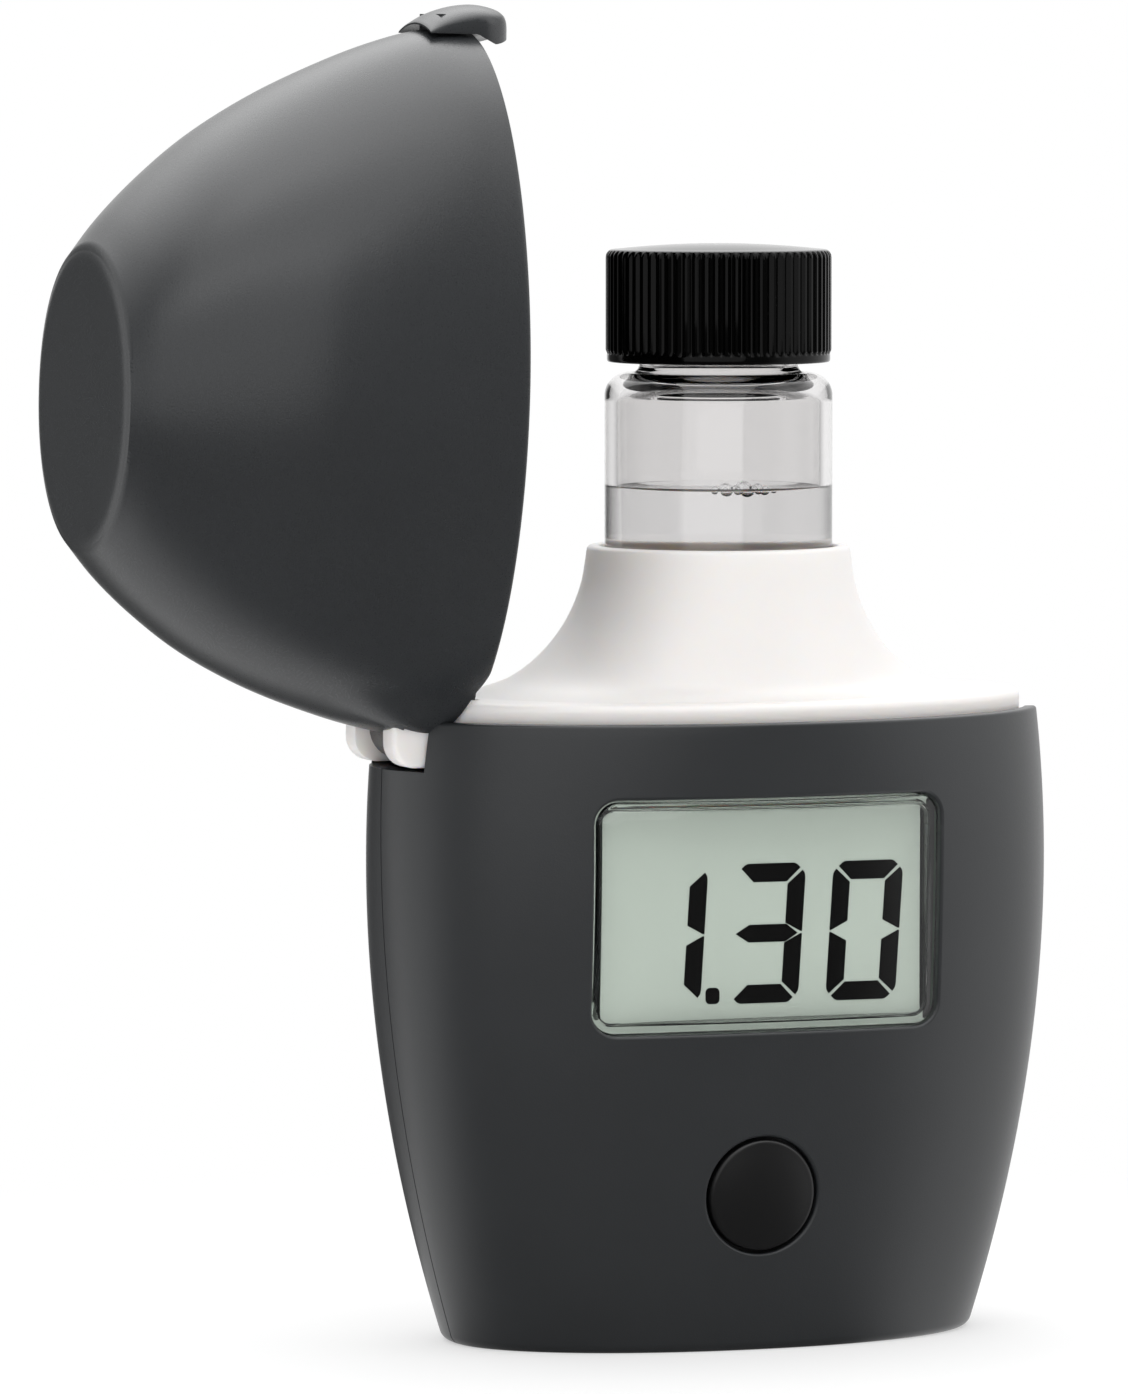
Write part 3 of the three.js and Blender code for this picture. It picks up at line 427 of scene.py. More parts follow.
def body_section(z, inset=0.0):
    """Half width, half depth and roundness of the body at a height."""
    share = z / BODY_HEIGHT
    bow = 4 * share * (1 - share)
    return (
        BASE_HALF_WIDTH + WIDTH_TAPER * share + BULGE_WIDTH * bow - inset,
        BASE_HALF_DEPTH + DEPTH_TAPER * share + BULGE_DEPTH * bow - inset,
        BASE_ROUNDNESS + (RIM_ROUNDNESS - BASE_ROUNDNESS) * share + MIDDLE_SQUARENESS * bow,
    )


def wall_depth(x, z):
    """How far the front or rear wall is from the middle plane."""
    half_width, half_depth, roundness = body_section(z)
    share = max(1 - abs(x / half_width) ** roundness, 0.0)
    return half_depth * share ** (1 / roundness)


def body_ring(z, inset=0.0, height=None):
    half_width, half_depth, roundness = body_section(z if height is None else height, inset)
    return oval(z, half_width, half_depth, roundness)


def body_blank(name):
    top = BODY_HEIGHT - RIM_EDGE
    foot = arc(BASE_EDGE, BASE_EDGE, BASE_EDGE, -QUARTER, -math.pi, 8)[:-1]
    rings = [body_ring(z, inset) for inset, z in foot]
    rings += [body_ring(BASE_EDGE + (top - BASE_EDGE) * k / BODY_ROWS) for k in range(BODY_ROWS + 1)]
    rings += [body_ring(z, inset) for inset, z in arc(RIM_EDGE, top, RIM_EDGE, math.pi, QUARTER, 5)[1:]]
    return ring_mesh(name, rings)


def body_hollow(low):
    rings = [body_ring(low + (FLANGE_BOTTOM - low) * k / 12, SHELL_WALL) for k in range(13)]
    rings.append(body_ring(FLANGE_BOTTOM, RIM_WALL))
    rings.append(body_ring(BODY_HEIGHT - 0.25, RIM_WALL, BODY_HEIGHT))
    rings.append(body_ring(BODY_HEIGHT, RIM_WALL - 0.2))
    rings.append(body_ring(BODY_HEIGHT + 2, RIM_WALL - 0.2, BODY_HEIGHT))
    return ring_mesh("hollow", rings)


def lipped_cutter(name, outline, side, lip, deep):
    """Cuts an opening in the wall on one side (-1 front, 1 back) with a rounded lip.
    outline(grow) gives its (x, z) points, anticlockwise as x to z."""
    rows = [(0.0, None), (0.0, lip * 1.6)]
    rows += arc(lip, lip, lip, math.pi, math.pi + QUARTER, 7)[:-1]
    rows.append((lip * 1.35, -lip * 1.6))
    rings = []
    for grow, depth in rows:
        ring = []
        for x, z in outline(grow):
            y = deep if depth is None else wall_depth(x, z) - depth
            ring.append((x, side * y, z))
        rings.append(ring)
    far = side * (RIM_HALF_DEPTH + 5)
    rings.append([(x, far, z) for x, _, z in rings[-1]])
    return ring_mesh(name, rings)


def window_outline(grow):
    """The window's outline moved outwards by grow, the count of its points kept."""
    moved = []
    for x, z in rounded(WINDOW_X, WINDOW_Z, WINDOW_HALF_WIDTH, WINDOW_HALF_HEIGHT, WINDOW_CORNER):
        dx, dz = x - WINDOW_X, z - WINDOW_Z
        ax = max(abs(dx) - (WINDOW_HALF_WIDTH - WINDOW_CORNER), 0)
        az = max(abs(dz) - (WINDOW_HALF_HEIGHT - WINDOW_CORNER), 0)
        share = grow / (math.hypot(ax, az) or 1)
        moved.append((x + math.copysign(ax, dx) * share, z + math.copysign(az, dz) * share))
    return moved


def button_outline(grow):
    return circle(BUTTON_X, BUTTON_Z, BUTTON_HOLE + grow, 96)


def beyond(low_y, high_y):
    return box_mesh("far", (-BEYOND, low_y, -5), (BEYOND, high_y, OVERHEAD))


def cut_rim(shell):
    """Opens the rim for the hinge on the left and for the lid's lip on the right."""
    right = NOTCH_DEEP - RIM_HALF_WIDTH
    cut(shell, box_mesh("notch", (-BEYOND, -NOTCH_HALF, NOTCH_LOW), (right, NOTCH_HALF, OVERHEAD)))
    left, low = RIM_HALF_WIDTH - CATCH_DEEP, BODY_HEIGHT - CATCH_TALL
    cut(shell, box_mesh("catch", (left, -CATCH_HALF, low), (BEYOND, CATCH_HALF, OVERHEAD)))


def make_front():
    shell = body_blank("front_skin")
    like = shell.data.copy()
    seam = SEAM - SEAM_GAP / 2
    cut(shell, body_hollow(-1), beyond(seam, BEYOND))
    cut_rim(shell)
    cut(shell, lipped_cutter("window", window_outline, side=-1, lip=0.35, deep=8))
    cut(shell, lipped_cutter("button", button_outline, side=-1, lip=0.3, deep=8))
    return smooth(shell, SHARP_DEGREES, like)


def make_rear():
    shell = body_blank("rear_skin")
    like = shell.data.copy()
    seam = SEAM + SEAM_GAP / 2
    cut(shell, body_hollow(FLOOR), beyond(-BEYOND, seam))
    floor = ring_mesh("floor", [body_ring(z, SHELL_WALL + SEAM_GAP) for z in (0.0, FLOOR)])
    cut(floor, beyond(seam + SEAM_GAP, BEYOND))
    add(shell, floor)
    for x, z in SHELL_SCREWS:
        seat = wall_depth(abs(x) + 1.8, z) - SCREW_DEEP
        boss = prism_y("boss", circle(x, z, SCREW_BOSS), seam, RIM_HALF_DEPTH)
        levels = [1 + (BODY_HEIGHT - 1.5) * k / 12 for k in range(13)]
        inside = ring_mesh("inside", [body_ring(level, RIM_WALL) for level in levels])
        combine(boss, inside, "INTERSECT")
        add(shell, boss)
        cut(shell, prism_y("shank", circle(x, z, SCREW_SHANK), -5, 30))
        cut(shell, lipped_cutter(
            "head", lambda grow, x=x, z=z: circle(x, z, SCREW_HEAD + grow), side=1, lip=0.2, deep=seat,
        ))
    edge = [(0, 8), (0, 0.3), (0.06, 0.14), (0.25, 0.0), (0.25, -3)]
    cell = turned_rings([(COVER_HOLE + out, z) for out, z in edge], BATTERY_X, 0.0, 96)
    cut(shell, ring_mesh("cell", cell[::-1]))
    cut_rim(shell)
    return smooth(shell, SHARP_DEGREES, like)


def surface_disc(name, outline, rows, count=14, dome=0.0):
    """A plate that follows the front wall. rows run from its front edge back, as (grow, depth
    below the wall) or (grow, y, True) for a level row; its front and back are closed with rings."""
    rings = []
    whole = outline(0)
    cx = sum(x for x, _ in whole) / len(whole)
    cz = sum(z for _, z in whole) / len(whole)

    def row_ring(row, scale=1.0, rise=0.0):
        ring = []
        for x, z in outline(row[0]):
            px, pz = cx + (x - cx) * scale, cz + (z - cz) * scale
            y = row[1] if len(row) > 2 else -(wall_depth(px, pz) - row[1] + rise)
            ring.append((px, y, pz))
        return ring

    for k in range(count):
        scale = 0.02 + 0.98 * k / count
        rings.append(row_ring(rows[0], scale, dome * (1 - scale ** 2)))
    rings += [row_ring(row) for row in rows]
    rings += [row_ring(rows[-1], 0.02 + 0.98 * (count - 1 - k) / count) for k in range(count)]
    return ring_mesh(name, rings)


def make_window():
    """A clear cup: a bevelled front plate and a skirt that runs back round the panel."""
    back = WINDOW_RECESS + WINDOW_THICKNESS
    edge = 0.4
    rows = [(-WINDOW_GAP - edge, WINDOW_RECESS), (-WINDOW_GAP - edge + 0.04, WINDOW_RECESS + 0.01)]
    rows += arc(-WINDOW_GAP - edge, WINDOW_RECESS + edge, edge, -QUARTER, 0, 5)[1:]
    skirt_end = PANEL_FRONT - 0.12
    inside = -WINDOW_GAP - SKIRT_WALL
    rows += [
        (-WINDOW_GAP, skirt_end - 0.1, True), (-WINDOW_GAP - 0.1, skirt_end, True),
        (inside + 0.1, skirt_end, True), (inside, skirt_end - 0.1, True),
        (inside, back + 0.3), (inside - 0.09, back + 0.09), (inside - 0.3, back),
    ]
    lens = surface_disc("window_lens", window_outline, rows)
    return smooth(lens, 40)


def make_button():
    edge = 0.4
    rows = arc(-BUTTON_GAP - edge, edge - BUTTON_PROUD, edge, -QUARTER, 0, 6)
    rows += [(-BUTTON_GAP, BUTTON_STEP), (BUTTON_FLANGE, BUTTON_STEP), (BUTTON_FLANGE, BUTTON_BACK, True)]
    button = surface_disc("button_cap", button_outline, rows, 10, BUTTON_DOME)
    return smooth(button, 40)


# Display figures

FIGURE_WIDTH = 6.45
FIGURE_HEIGHT = 12.0
STROKE = 1.6
FIGURE_SLANT = 0.065
FIGURE_RIGHT = 12.2
FIGURE_PITCH = 9.0
FIGURE_LOW = 30.0
FIGURE_PROUD = 0.04
POINT_X = -5.05
POINT_RISE = 0.76
FIGURES = {"0": "abcdef", "1": "bc", "3": "abcdg"}


def segment(name):
    """The outline of one bar of a figure: a at the top, g in the middle, the rest mirrored."""
    w, h, t, m = FIGURE_WIDTH, FIGURE_HEIGHT, STROKE, FIGURE_HEIGHT / 2
    top = [
        (1.1, h), (w - 1.1, h), (w - 0.82, h - 0.12), (w - 0.5, h - 0.42), (w - t - 0.1, h - t),
        (t + 0.1, h - t), (0.5, h - 0.42), (0.82, h - 0.12),
    ]
    left = [
        (0.28, h - 0.64), (0.06, h - 0.95), (0, h - 1.3), (0, m + 0.12), (0.12, m + 0.08),
        (t, m + 0.85), (t, h - t - 0.2),
    ]
    middle = [
        (0.32, m), (1.55, m - 0.76), (w - 1.5, m - 0.76), (w - 0.4, m - 0.05),
        (w - 1.5, m + 0.76), (1.55, m + 0.76),
    ]
    if name == "g":
        return middle
    points = top if name in "ad" else left
    if name in "bc":
        points = [(w - x, z) for x, z in points]
    if name in "dec":
        points = [(x, h - z) for x, z in points]
    return points


def area(points):
    """Twice the area, below zero for a clockwise outline."""
    pairs = zip(points, points[1:] + points[:1])
    return sum(x0 * z1 - x1 * z0 for (x0, z0), (x1, z1) in pairs)


def make_figures():
    outlines = []
    for place, figure in enumerate("031"):
        left = FIGURE_RIGHT - FIGURE_PITCH * place - FIGURE_WIDTH
        for name in FIGURES[figure]:
            outlines.append([
                (left + x + FIGURE_SLANT * (z - FIGURE_HEIGHT / 2), FIGURE_LOW + z) for x, z in segment(name)
            ])
    outlines.append(rounded(POINT_X, FIGURE_LOW + POINT_RISE, 0.64, 0.7, 0.4, 4))
    points, faces = [], []
    for outline in outlines:
        if area(outline) < 0:
            outline = outline[::-1]
        first, count = len(points), len(outline)
        for y in (PANEL_FRONT - FIGURE_PROUD, PANEL_FRONT - 0.005):
            points += [(x, y, z) for x, z in outline]
        faces.append(list(range(first, first + count)))
        faces.append(list(range(first + count, first + 2 * count))[::-1])
        faces += ring_faces(first, first + count, count)
    return new_object("display_figures", points, faces)


# Collar

def flare(share, inset=0.0):
    """A level of the flare, which turns from the flange's oval into the round tube."""
    out = curve_height(FLARE_SHARES, share)
    half_width = FLARE_BASE + (RIM_HALF_WIDTH - RIM_WALL - FLANGE_GAP - FLARE_BASE) * out - inset
    half_depth = FLARE_BASE + (RIM_HALF_DEPTH - RIM_WALL - FLANGE_GAP - FLARE_BASE) * out - inset
    z = FLANGE_TOP + (COLLAR_TOP - COLLAR_LIP - FLANGE_TOP) * share
    return oval(z, half_width, half_depth, 2.0, VIAL_X * (1 - out), VIAL_Y * (1 - out))


def collar_rings():
    """From the flange's foot up over the flare, down the bore, up the tube and back under the flare."""
    half_width, half_depth, roundness = body_section(BODY_HEIGHT, RIM_WALL + FLANGE_GAP)
    edge, lip = FLANGE_EDGE, COLLAR_LIP

    def rim(z, inset=0.0):
        return oval(z, half_width - inset, half_depth - inset, roundness)

    rings = [rim(FLANGE_BOTTOM), rim(FLANGE_TOP - edge - 0.8), rim(FLANGE_TOP - edge)]
    rings += [rim(z, inset) for inset, z in arc(edge, FLANGE_TOP - edge, edge, math.pi, QUARTER, 7)[1:]]
    rings.append(rim(FLANGE_TOP + 0.02, edge + 0.5))
    rings += [flare((k / (FLARE_ROWS - 1)) ** 1.8) for k in range(FLARE_ROWS)]
    tube = arc(FLARE_BASE - lip, COLLAR_TOP - lip, lip, 0, QUARTER, 6)[1:]
    tube += arc(BORE + BORE_LIP, COLLAR_TOP - BORE_LIP, BORE_LIP, QUARTER, math.pi, 5)
    tube += [(BORE, TUBE_BOTTOM), (FLARE_BASE, TUBE_BOTTOM), (FLARE_BASE, TUBE_TOP)]
    rings += [oval(z, radius, radius, 2.0, VIAL_X, VIAL_Y) for radius, z in tube]
    for share in (0.3, 0.2, 0.12, 0.05, 0.0):
        rings.append([(x, y, z - COLLAR_WALL / 2) for x, y, z in flare(share, COLLAR_WALL)])
    return rings + [rim(z, COLLAR_WALL) for z in (FLANGE_TOP - COLLAR_WALL, FLANGE_BOTTOM)]


def ear_outline(inset):
    """The side view of an ear, drawn in by inset: low and short inboard, so the lid hides it."""
    left = HINGE_X - EAR_RADIUS + inset
    inboard = EAR_INBOARD - inset
    low = EAR_BOTTOM + inset
    corner = EAR_CORNER - inset
    points = [(HINGE_X + inboard, low), (HINGE_X + inboard, HINGE_Z)]
    for c, s in arc(0, 0, 1, 0, math.pi, 28)[1:]:
        reach = inboard if c > 0 else EAR_RADIUS - inset
        points.append((HINGE_X + reach * c, HINGE_Z + (EAR_TALL - inset) * s))
    return points + arc(left + corner, low + corner, corner, math.pi, math.pi + QUARTER, 10)


def ear(side):
    """One hinge ear with rounded edges on its outer face."""
    edge = 0.45
    rows = [(0.12, EAR_INSIDE), (0.03, EAR_INSIDE + 0.04), (0.0, EAR_INSIDE + 0.12)]
    rows += arc(edge, EAR_OUTSIDE - edge, edge, math.pi, QUARTER, 5)
    rings = [[(x, side * y, z) for x, z in ear_outline(inset)] for inset, y in rows]
    form = ring_mesh("ear", rings)
    room = turned_rings([(BATTERY_ROOM, 45), (BATTERY_ROOM, FLANGE_BOTTOM)], BATTERY_X, 0.0, 64)
    cut(form, ring_mesh("cell", room))
    return form


def hinge_rod(name, radius, reach, count=48):
    return prism_y(name, circle(HINGE_X, HINGE_Z, radius, count), -reach, reach)


def make_collar():
    collar = ring_mesh("collar_skin", collar_rings(), closed=True)
    like = collar.data.copy()
    add(collar, ear(-1), ear(1))
    cut(collar, hinge_rod("room", KNUCKLE_RADIUS + 0.3, EAR_INSIDE, 64))
    cut(collar, box_mesh("under", (HINGE_X - 9, -EAR_INSIDE, NOTCH_LOW), (HINGE_X, EAR_INSIDE, HINGE_Z)))
    cut(collar, hinge_rod("bore", PIN_BORE, PIN_REACH))
    return smooth(collar, SHARP_DEGREES, like)


# Lid

def fade(value, start, end):
    """1 before start, 0 beyond end, smooth between."""
    share = min(max((value - start) / (end - start), 0.0), 1.0)
    return 1 - share * share * (3 - 2 * share)


def lid_ring(share, inset=0.0, height=LID_HEIGHT, lift=0.0):
    """One level of the lid. Low down, its hinge side runs straighter across the ears."""
    row = curve_point(LID_SHARES, share)
    z = MOUTH + height * row.x + lift
    ring = oval(
        z, LID_HALF_WIDTH * row.y - inset, LID_HALF_DEPTH * row.z - inset,
        RIM_ROUNDNESS + (LID_TOP_ROUNDNESS - RIM_ROUNDNESS) * row.x, LID_LEAN * row.x,
    )
    left = LID_LEAN * row.x - LID_HALF_WIDTH * row.y + inset
    tall = fade(z, PAD_TOP - PAD_FADE, PAD_TOP)
    padded = []
    for x, y, _ in ring:
        flatter = tall * fade(abs(y), PAD_HALF, PAD_END) if x < 0 else 0.0
        padded.append((x + (left + PAD_BOW * y * y - x) * flatter, y, z))
    return padded


def lid_skin():
    """The lid without its hinge, as a cup: down its inside to the mouth, and up its outside. A shallow
    crease runs round its flat end."""
    edge = 0.28
    mouth = arc(edge, edge, edge, -QUARTER, -math.pi, 5)
    rings = [lid_ring(0, inset, lift=lift) for inset, lift in mouth]
    rings += [lid_ring(k / LID_ROWS) for k in range(1, LID_ROWS)]
    crease = 0.25
    steps = [(0, 0), (0.12, 0.05), (0.3, 0.11), (0.55, 0.17), (0.85, 0.215), (1.2, 0.24)]
    steps += [(inset, crease) for inset in (1.7, 3.5, 7.0)]
    rings += [lid_ring(1, inset, lift=rise - crease) for inset, rise in steps]
    shares = [k / INNER_ROWS for k in range(INNER_ROWS, 0, -1)]
    inside = [lid_ring(share, LID_WALL, LID_HEIGHT - LID_WALL) for share in shares]
    inside += [lid_ring(0, 1.0, lift=0.25), lid_ring(0, 0.75)]
    return ring_mesh("lid_skin", inside + rings)


def hinge_slot():
    """Room for the ears, with a foot that curves out to pass over the collar's flange."""
    low, top = MOUTH - 4, HINGE_Z + EAR_TALL + 0.5
    narrow = EAR_OUTSIDE + SLOT_GAP
    side = [(SLOT_FOOT, low)]
    first_sine, first_cosine = math.sin(SLOT_FOOT_START), math.cos(SLOT_FOOT_START)
    for k in range(11):
        angle = SLOT_FOOT_START + (QUARTER - SLOT_FOOT_START) * k / 10
        inwards = (math.sin(angle) - first_sine) / (1 - first_sine)
        rise = (first_cosine - math.cos(angle)) / first_cosine
        side.append((SLOT_FOOT - (SLOT_FOOT - narrow) * inwards, MOUTH + SLOT_FOOT_TALL * rise))
    side.append((narrow, top))
    outline = side + [(-y, z) for y, z in side[::-1]]
    rings = [[(x, y, z) for y, z in outline] for x in (-BEYOND, HINGE_X + EAR_RADIUS + 0.3)]
    return ring_mesh("slot", rings)


def closed_place(x, z):
    """Where a point of the open lid is when the lid is closed."""
    dx, dz = x - HINGE_X, z - HINGE_Z
    c, s = math.cos(OPEN_ANGLE), math.sin(OPEN_ANGLE)
    return HINGE_X + dx * c + dz * s, HINGE_Z - dx * s + dz * c


def make_heel():
    """The knuckle's tail, which hangs between the ears when the lid is open."""
    left, right, low = HINGE_X - KNUCKLE_RADIUS, HINGE_X - HEEL_DEEP, EAR_BOTTOM + HEEL_GAP
    points = [(right, low), (right, HINGE_Z), (left, HINGE_Z)]
    points += arc(left + HEEL_CORNER, low + HEEL_CORNER, HEEL_CORNER, math.pi, math.pi + QUARTER, 10)
    return prism_y("heel", [closed_place(x, z) for x, z in points], -KNUCKLE_HALF, KNUCKLE_HALF)


def to_open(obj):
    """Turns a piece that was made on the closed lid to where the open lid has it."""
    pivot = Vector((HINGE_X, 0, HINGE_Z)) * MM
    turn = Matrix.Rotation(-OPEN_ANGLE, 4, "Y")
    obj.data.transform(Matrix.Translation(pivot) @ turn @ Matrix.Translation(-pivot))
    return obj


def lip_foot(start, end, gap):
    """The lip's foot in the lid's wall, or the hole for it, wider by a gap."""
    half, tall, middle = LIP_FOOT_HALF + gap, LIP_FOOT_TALL + gap, MOUTH + LIP_TOP / 2
    low = (LID_HALF_WIDTH + start, -half, middle - tall)
    return box_mesh("foot", low, (LID_HALF_WIDTH + end, half, middle + tall))


def make_lid():
    lid = lid_skin()
    like = lid.data.copy()
    cut(lid, hinge_slot())
    edge = [(0.25, KNUCKLE_HALF), (0.06, KNUCKLE_HALF - 0.08), (0, KNUCKLE_HALF - 0.25)]
    rows = [(inset, -y) for inset, y in edge] + edge[::-1]
    knuckle = ring_mesh("knuckle", [
        [(x, y, z) for x, z in circle(HINGE_X, HINGE_Z, KNUCKLE_RADIUS - inset, 72)] for inset, y in rows
    ])
    web_left = HINGE_X - KNUCKLE_RADIUS
    web = box_mesh("web", (web_left, -KNUCKLE_HALF, HINGE_Z), (web_left + WEB_DEEP, KNUCKLE_HALF, WEB_TOP))
    solid = ring_mesh("lid_solid", [lid_ring(k / INNER_ROWS) for k in range(12)])
    add(solid, hinge_rod("room", KNUCKLE_RADIUS - 0.02, 4, 72))
    combine(web, solid, "INTERSECT")
    add(knuckle, web, make_heel())
    add(lid, knuckle)
    cut(lid, hinge_rod("bore", PIN_BORE, 5))
    cut(lid, lip_foot(-2.4, 4, LIP_FOOT_GAP))
    smooth(lid, SHARP_DEGREES, like)
    return to_open(lid)


def lip_surface(y, out):
    """x of the lip's face at y, out beyond the lid's mouth."""
    share = 1 - abs(y / (LID_HALF_DEPTH + out)) ** RIM_ROUNDNESS
    return (LID_HALF_WIDTH + out) * share ** (1 / RIM_ROUNDNESS)


def make_latch():
    """The thumb lip: a bulge that follows the lid's wall, with thin rounded ends and sides."""
    low, tall = MOUTH - LIP_DROP, LIP_TOP + LIP_DROP
    rings = []
    steps, across = 44, 28
    for k in range(steps + 1):
        t = k / steps
        share = 0.5 - 0.5 * math.cos(math.pi * t)
        z = low + tall * share
        rise = min(z - low + 0.02, LIP_CORNER)
        half = LIP_HALF_WIDTH - LIP_CORNER + math.sqrt(max(LIP_CORNER ** 2 - (LIP_CORNER - rise) ** 2, 0))
        out = LIP_SEAT + LIP_BULGE * curve_height(LIP_SHARES, share)
        tip = max(0.0, 1 - (z - low) / LIP_DROP)
        inner = LIP_SEAT - 0.9 * min(1.0, tip * 2)
        end = min(1.0, (z - low) / 0.5, (low + tall - z) / 0.3 + 0.25)
        end = math.sqrt(max(1 - (1 - max(end, 0.15)) ** 2, 0))
        ring, back = [], []
        for j in range(across + 1):
            s = -1 + 2 * j / across
            crown = (1 - abs(s) ** 3.2) ** 0.42 * end
            y = half * math.sin(s * QUARTER)
            x_inner, x_outer = lip_surface(y, inner), lip_surface(y, out)
            ring.append((x_inner + (x_outer - x_inner) * (0.12 + 0.88 * crown), y, z))
            back.append((x_inner, y, z))
        rings.append(ring + back[::-1])
    latch = ring_mesh("thumb_lip", rings)
    add(latch, lip_foot(-0.6, 1.2, 0.0))
    smooth(latch, 40)
    return to_open(latch)


# Vial

def turned_mesh(name, profile, cx=VIAL_X, cy=VIAL_Y, count=ROUND_STEPS):
    """A round form whose profile runs from its lower middle, out, up and back to the middle."""
    rings = turned_rings(profile[1:-1], cx, cy, count)
    points = [(cx, cy, profile[0][1])] + [p for ring in rings for p in ring] + [(cx, cy, profile[-1][1])]
    faces = [(0, 1 + (i + 1) % count, 1 + i) for i in range(count)]
    for k in range(len(rings) - 1):
        faces += ring_faces(1 + k * count, 1 + (k + 1) * count, count)
    last = len(points) - 1
    base = last - count
    faces += [(last, base + i, base + (i + 1) % count) for i in range(count)]
    return new_object(name, points, faces)


def make_glass():
    r, s = VIAL_RADIUS, SHOULDER_RADIUS
    bend = 1.2
    outer = [(0, VIAL_BOTTOM), (FLAT, VIAL_BOTTOM)]
    outer += arc(r - bend, VIAL_BOTTOM + bend, bend, -QUARTER, 0, 8)
    outer += [(r, VIAL_BOTTOM + 12 * k) for k in (1, 2, 3, 4)]
    outer += arc(r - s, SHOULDER, s, 0, QUARTER * 0.94, 12)
    outer += arc(NECK_RADIUS + 0.7, SHOULDER + s + 0.7, 0.7, -QUARTER, -math.pi, 6)
    outer += [(NECK_RADIUS, NECK_FOOT), (NECK_RADIUS, NECK_TOP - 0.3), (NECK_RADIUS - 0.2, NECK_TOP)]
    inside = r - GLASS_WALL
    bend_in = s - GLASS_WALL / 2
    bore = NECK_RADIUS - GLASS_WALL
    inner = [(bore + 0.2, NECK_TOP), (bore, NECK_TOP - 0.3), (bore, NECK_FOOT)]
    inner += arc(NECK_RADIUS - 0.2, SHOULDER + s - 0.2, 0.9, math.pi, math.pi + QUARTER, 6)
    inner += arc(inside - bend_in, SHOULDER - 0.55, bend_in, QUARTER, 0, 10)
    inner += [(inside, z) for z in (76.0, 70.0, 60.0, 48.0)]
    inner += arc(inside - 1.0, VIAL_BOTTOM + GLASS_FLOOR + 1.0, 1.0, 0, -QUARTER, 6)
    inner += [(FLAT, VIAL_BOTTOM + GLASS_FLOOR), (0, VIAL_BOTTOM + GLASS_FLOOR)]
    glass = turned_mesh("vial_glass", outer + inner)
    return smooth(glass, 60)


def make_liquid():
    radius = VIAL_RADIUS - GLASS_WALL + LIQUID_OVERLAP
    low = VIAL_BOTTOM + GLASS_FLOOR - LIQUID_OVERLAP
    profile = [(0, low), (FLAT, low)]
    profile += arc(radius - 1.0, low + 1.0, 1.0, -QUARTER, 0, 6)
    profile += [(radius, z) for z in (45.0, 60.0, 70.0, LIQUID_TOP + MENISCUS_RISE)]
    for k in range(1, 17):
        t = k / 16
        profile.append((radius - MENISCUS_WIDTH * t, LIQUID_TOP + MENISCUS_RISE * (1 - t) ** 3))
    profile += [(FLAT, LIQUID_TOP), (0, LIQUID_TOP)]
    liquid = turned_mesh("sample", profile)
    for x, y, size in BUBBLES:
        add(liquid, bubble(x, y, size, 1.0))
        cut(liquid, bubble(x, y, size, 0.8))
    return smooth(liquid, 50)


def bubble(x, y, size, share):
    """A round bubble half sunk in the liquid, x and y off the vial's axis: its skin, or its air at a
    lower share."""
    profile = arc(0, LIQUID_TOP + size * 0.1, size * share, -QUARTER, QUARTER, 12)
    return turned_mesh("bubble", profile, VIAL_X + x, VIAL_Y + y, 20)


def make_cap():
    """Ribbed cap. Its foot and its edge are levels of a radius and a height, both measured from the
    cap's own, and how deep the ribs are, up to 1."""
    foot = [
        (-0.35, 0, 0), (-0.2, 0.03, 0), (-0.12, 0.12, 0), (-0.1, 0.25, 0), (-0.1, 0.62, 0),
        (-0.13, 0.7, 0), (-0.1, 0.84, 0.35), (-0.02, 1.0, 0.9), (0, 1.12, 1), (0, 5, 1),
    ]
    edge = [
        (0, -0.73, 1), (-0.03, -0.48, 0.95), (-0.12, -0.3, 0.7), (-0.22, -0.18, 0.3), (-0.3, -0.1, 0),
        (-0.42, -0.04, 0), (-0.6, -0.01, 0),
    ]
    levels = [(CAP_RADIUS + out, CAP_BOTTOM + up, depth) for out, up, depth in foot]
    levels += [(CAP_RADIUS + out, CAP_EDGE + up, depth) for out, up, depth in edge]
    for share in (1, 0.85, 0.7, 0.5, 0.3):
        levels.append(((CAP_RADIUS - 0.8) * share, CAP_EDGE + DOME * (1 - share ** 2), 0))
    count = RIBS * RIB_STEPS
    inside = CAP_RADIUS - CAP_WALL
    bore = [(inside, CAP_EDGE - 0.98), (inside, CAP_BOTTOM + 0.3), (inside + 0.25, CAP_BOTTOM)]
    rings = turned_rings(bore, VIAL_X, VIAL_Y, count)
    for radius, z, depth in levels:
        ring = []
        for k in range(count):
            land = abs((k % RIB_STEPS) / RIB_STEPS - 0.5) * 2
            groove = RIB_DEPTH * depth * min(1.0, max(0.0, (land - 0.35) / 0.5)) ** 0.8
            angle = FULL * (k - RIB_STEPS / 2) / count
            reach = radius - groove
            ring.append((VIAL_X + reach * math.cos(angle), VIAL_Y + reach * math.sin(angle), z))
        rings.append(ring)
    cap = ring_mesh("cap_skin", rings)
    return smooth(cap, 42)


def make_spring():
    """The coil under the vial's rest, made at one length; the real one shortens as the lid presses the vial
    down.
    """
    steps = 24 * SPRING_TURNS
    low = SPRING_LOW + WIRE_RADIUS
    rise = SPRING_TOP - WIRE_RADIUS - low
    rings = []
    for step in range(steps + 1):
        angle = FULL * SPRING_TURNS * step / steps
        c, s = math.cos(angle), math.sin(angle)
        wire = circle(SPRING_RADIUS, low + rise * step / steps, WIRE_RADIUS, 10)
        rings.append([(VIAL_X + reach * c, VIAL_Y + reach * s, z) for reach, z in wire])
    spring = ring_mesh("rest_spring", rings)
    return smooth(spring, 50)


# Materials

WHITE = (1.0, 1.0, 1.0, 1.0)


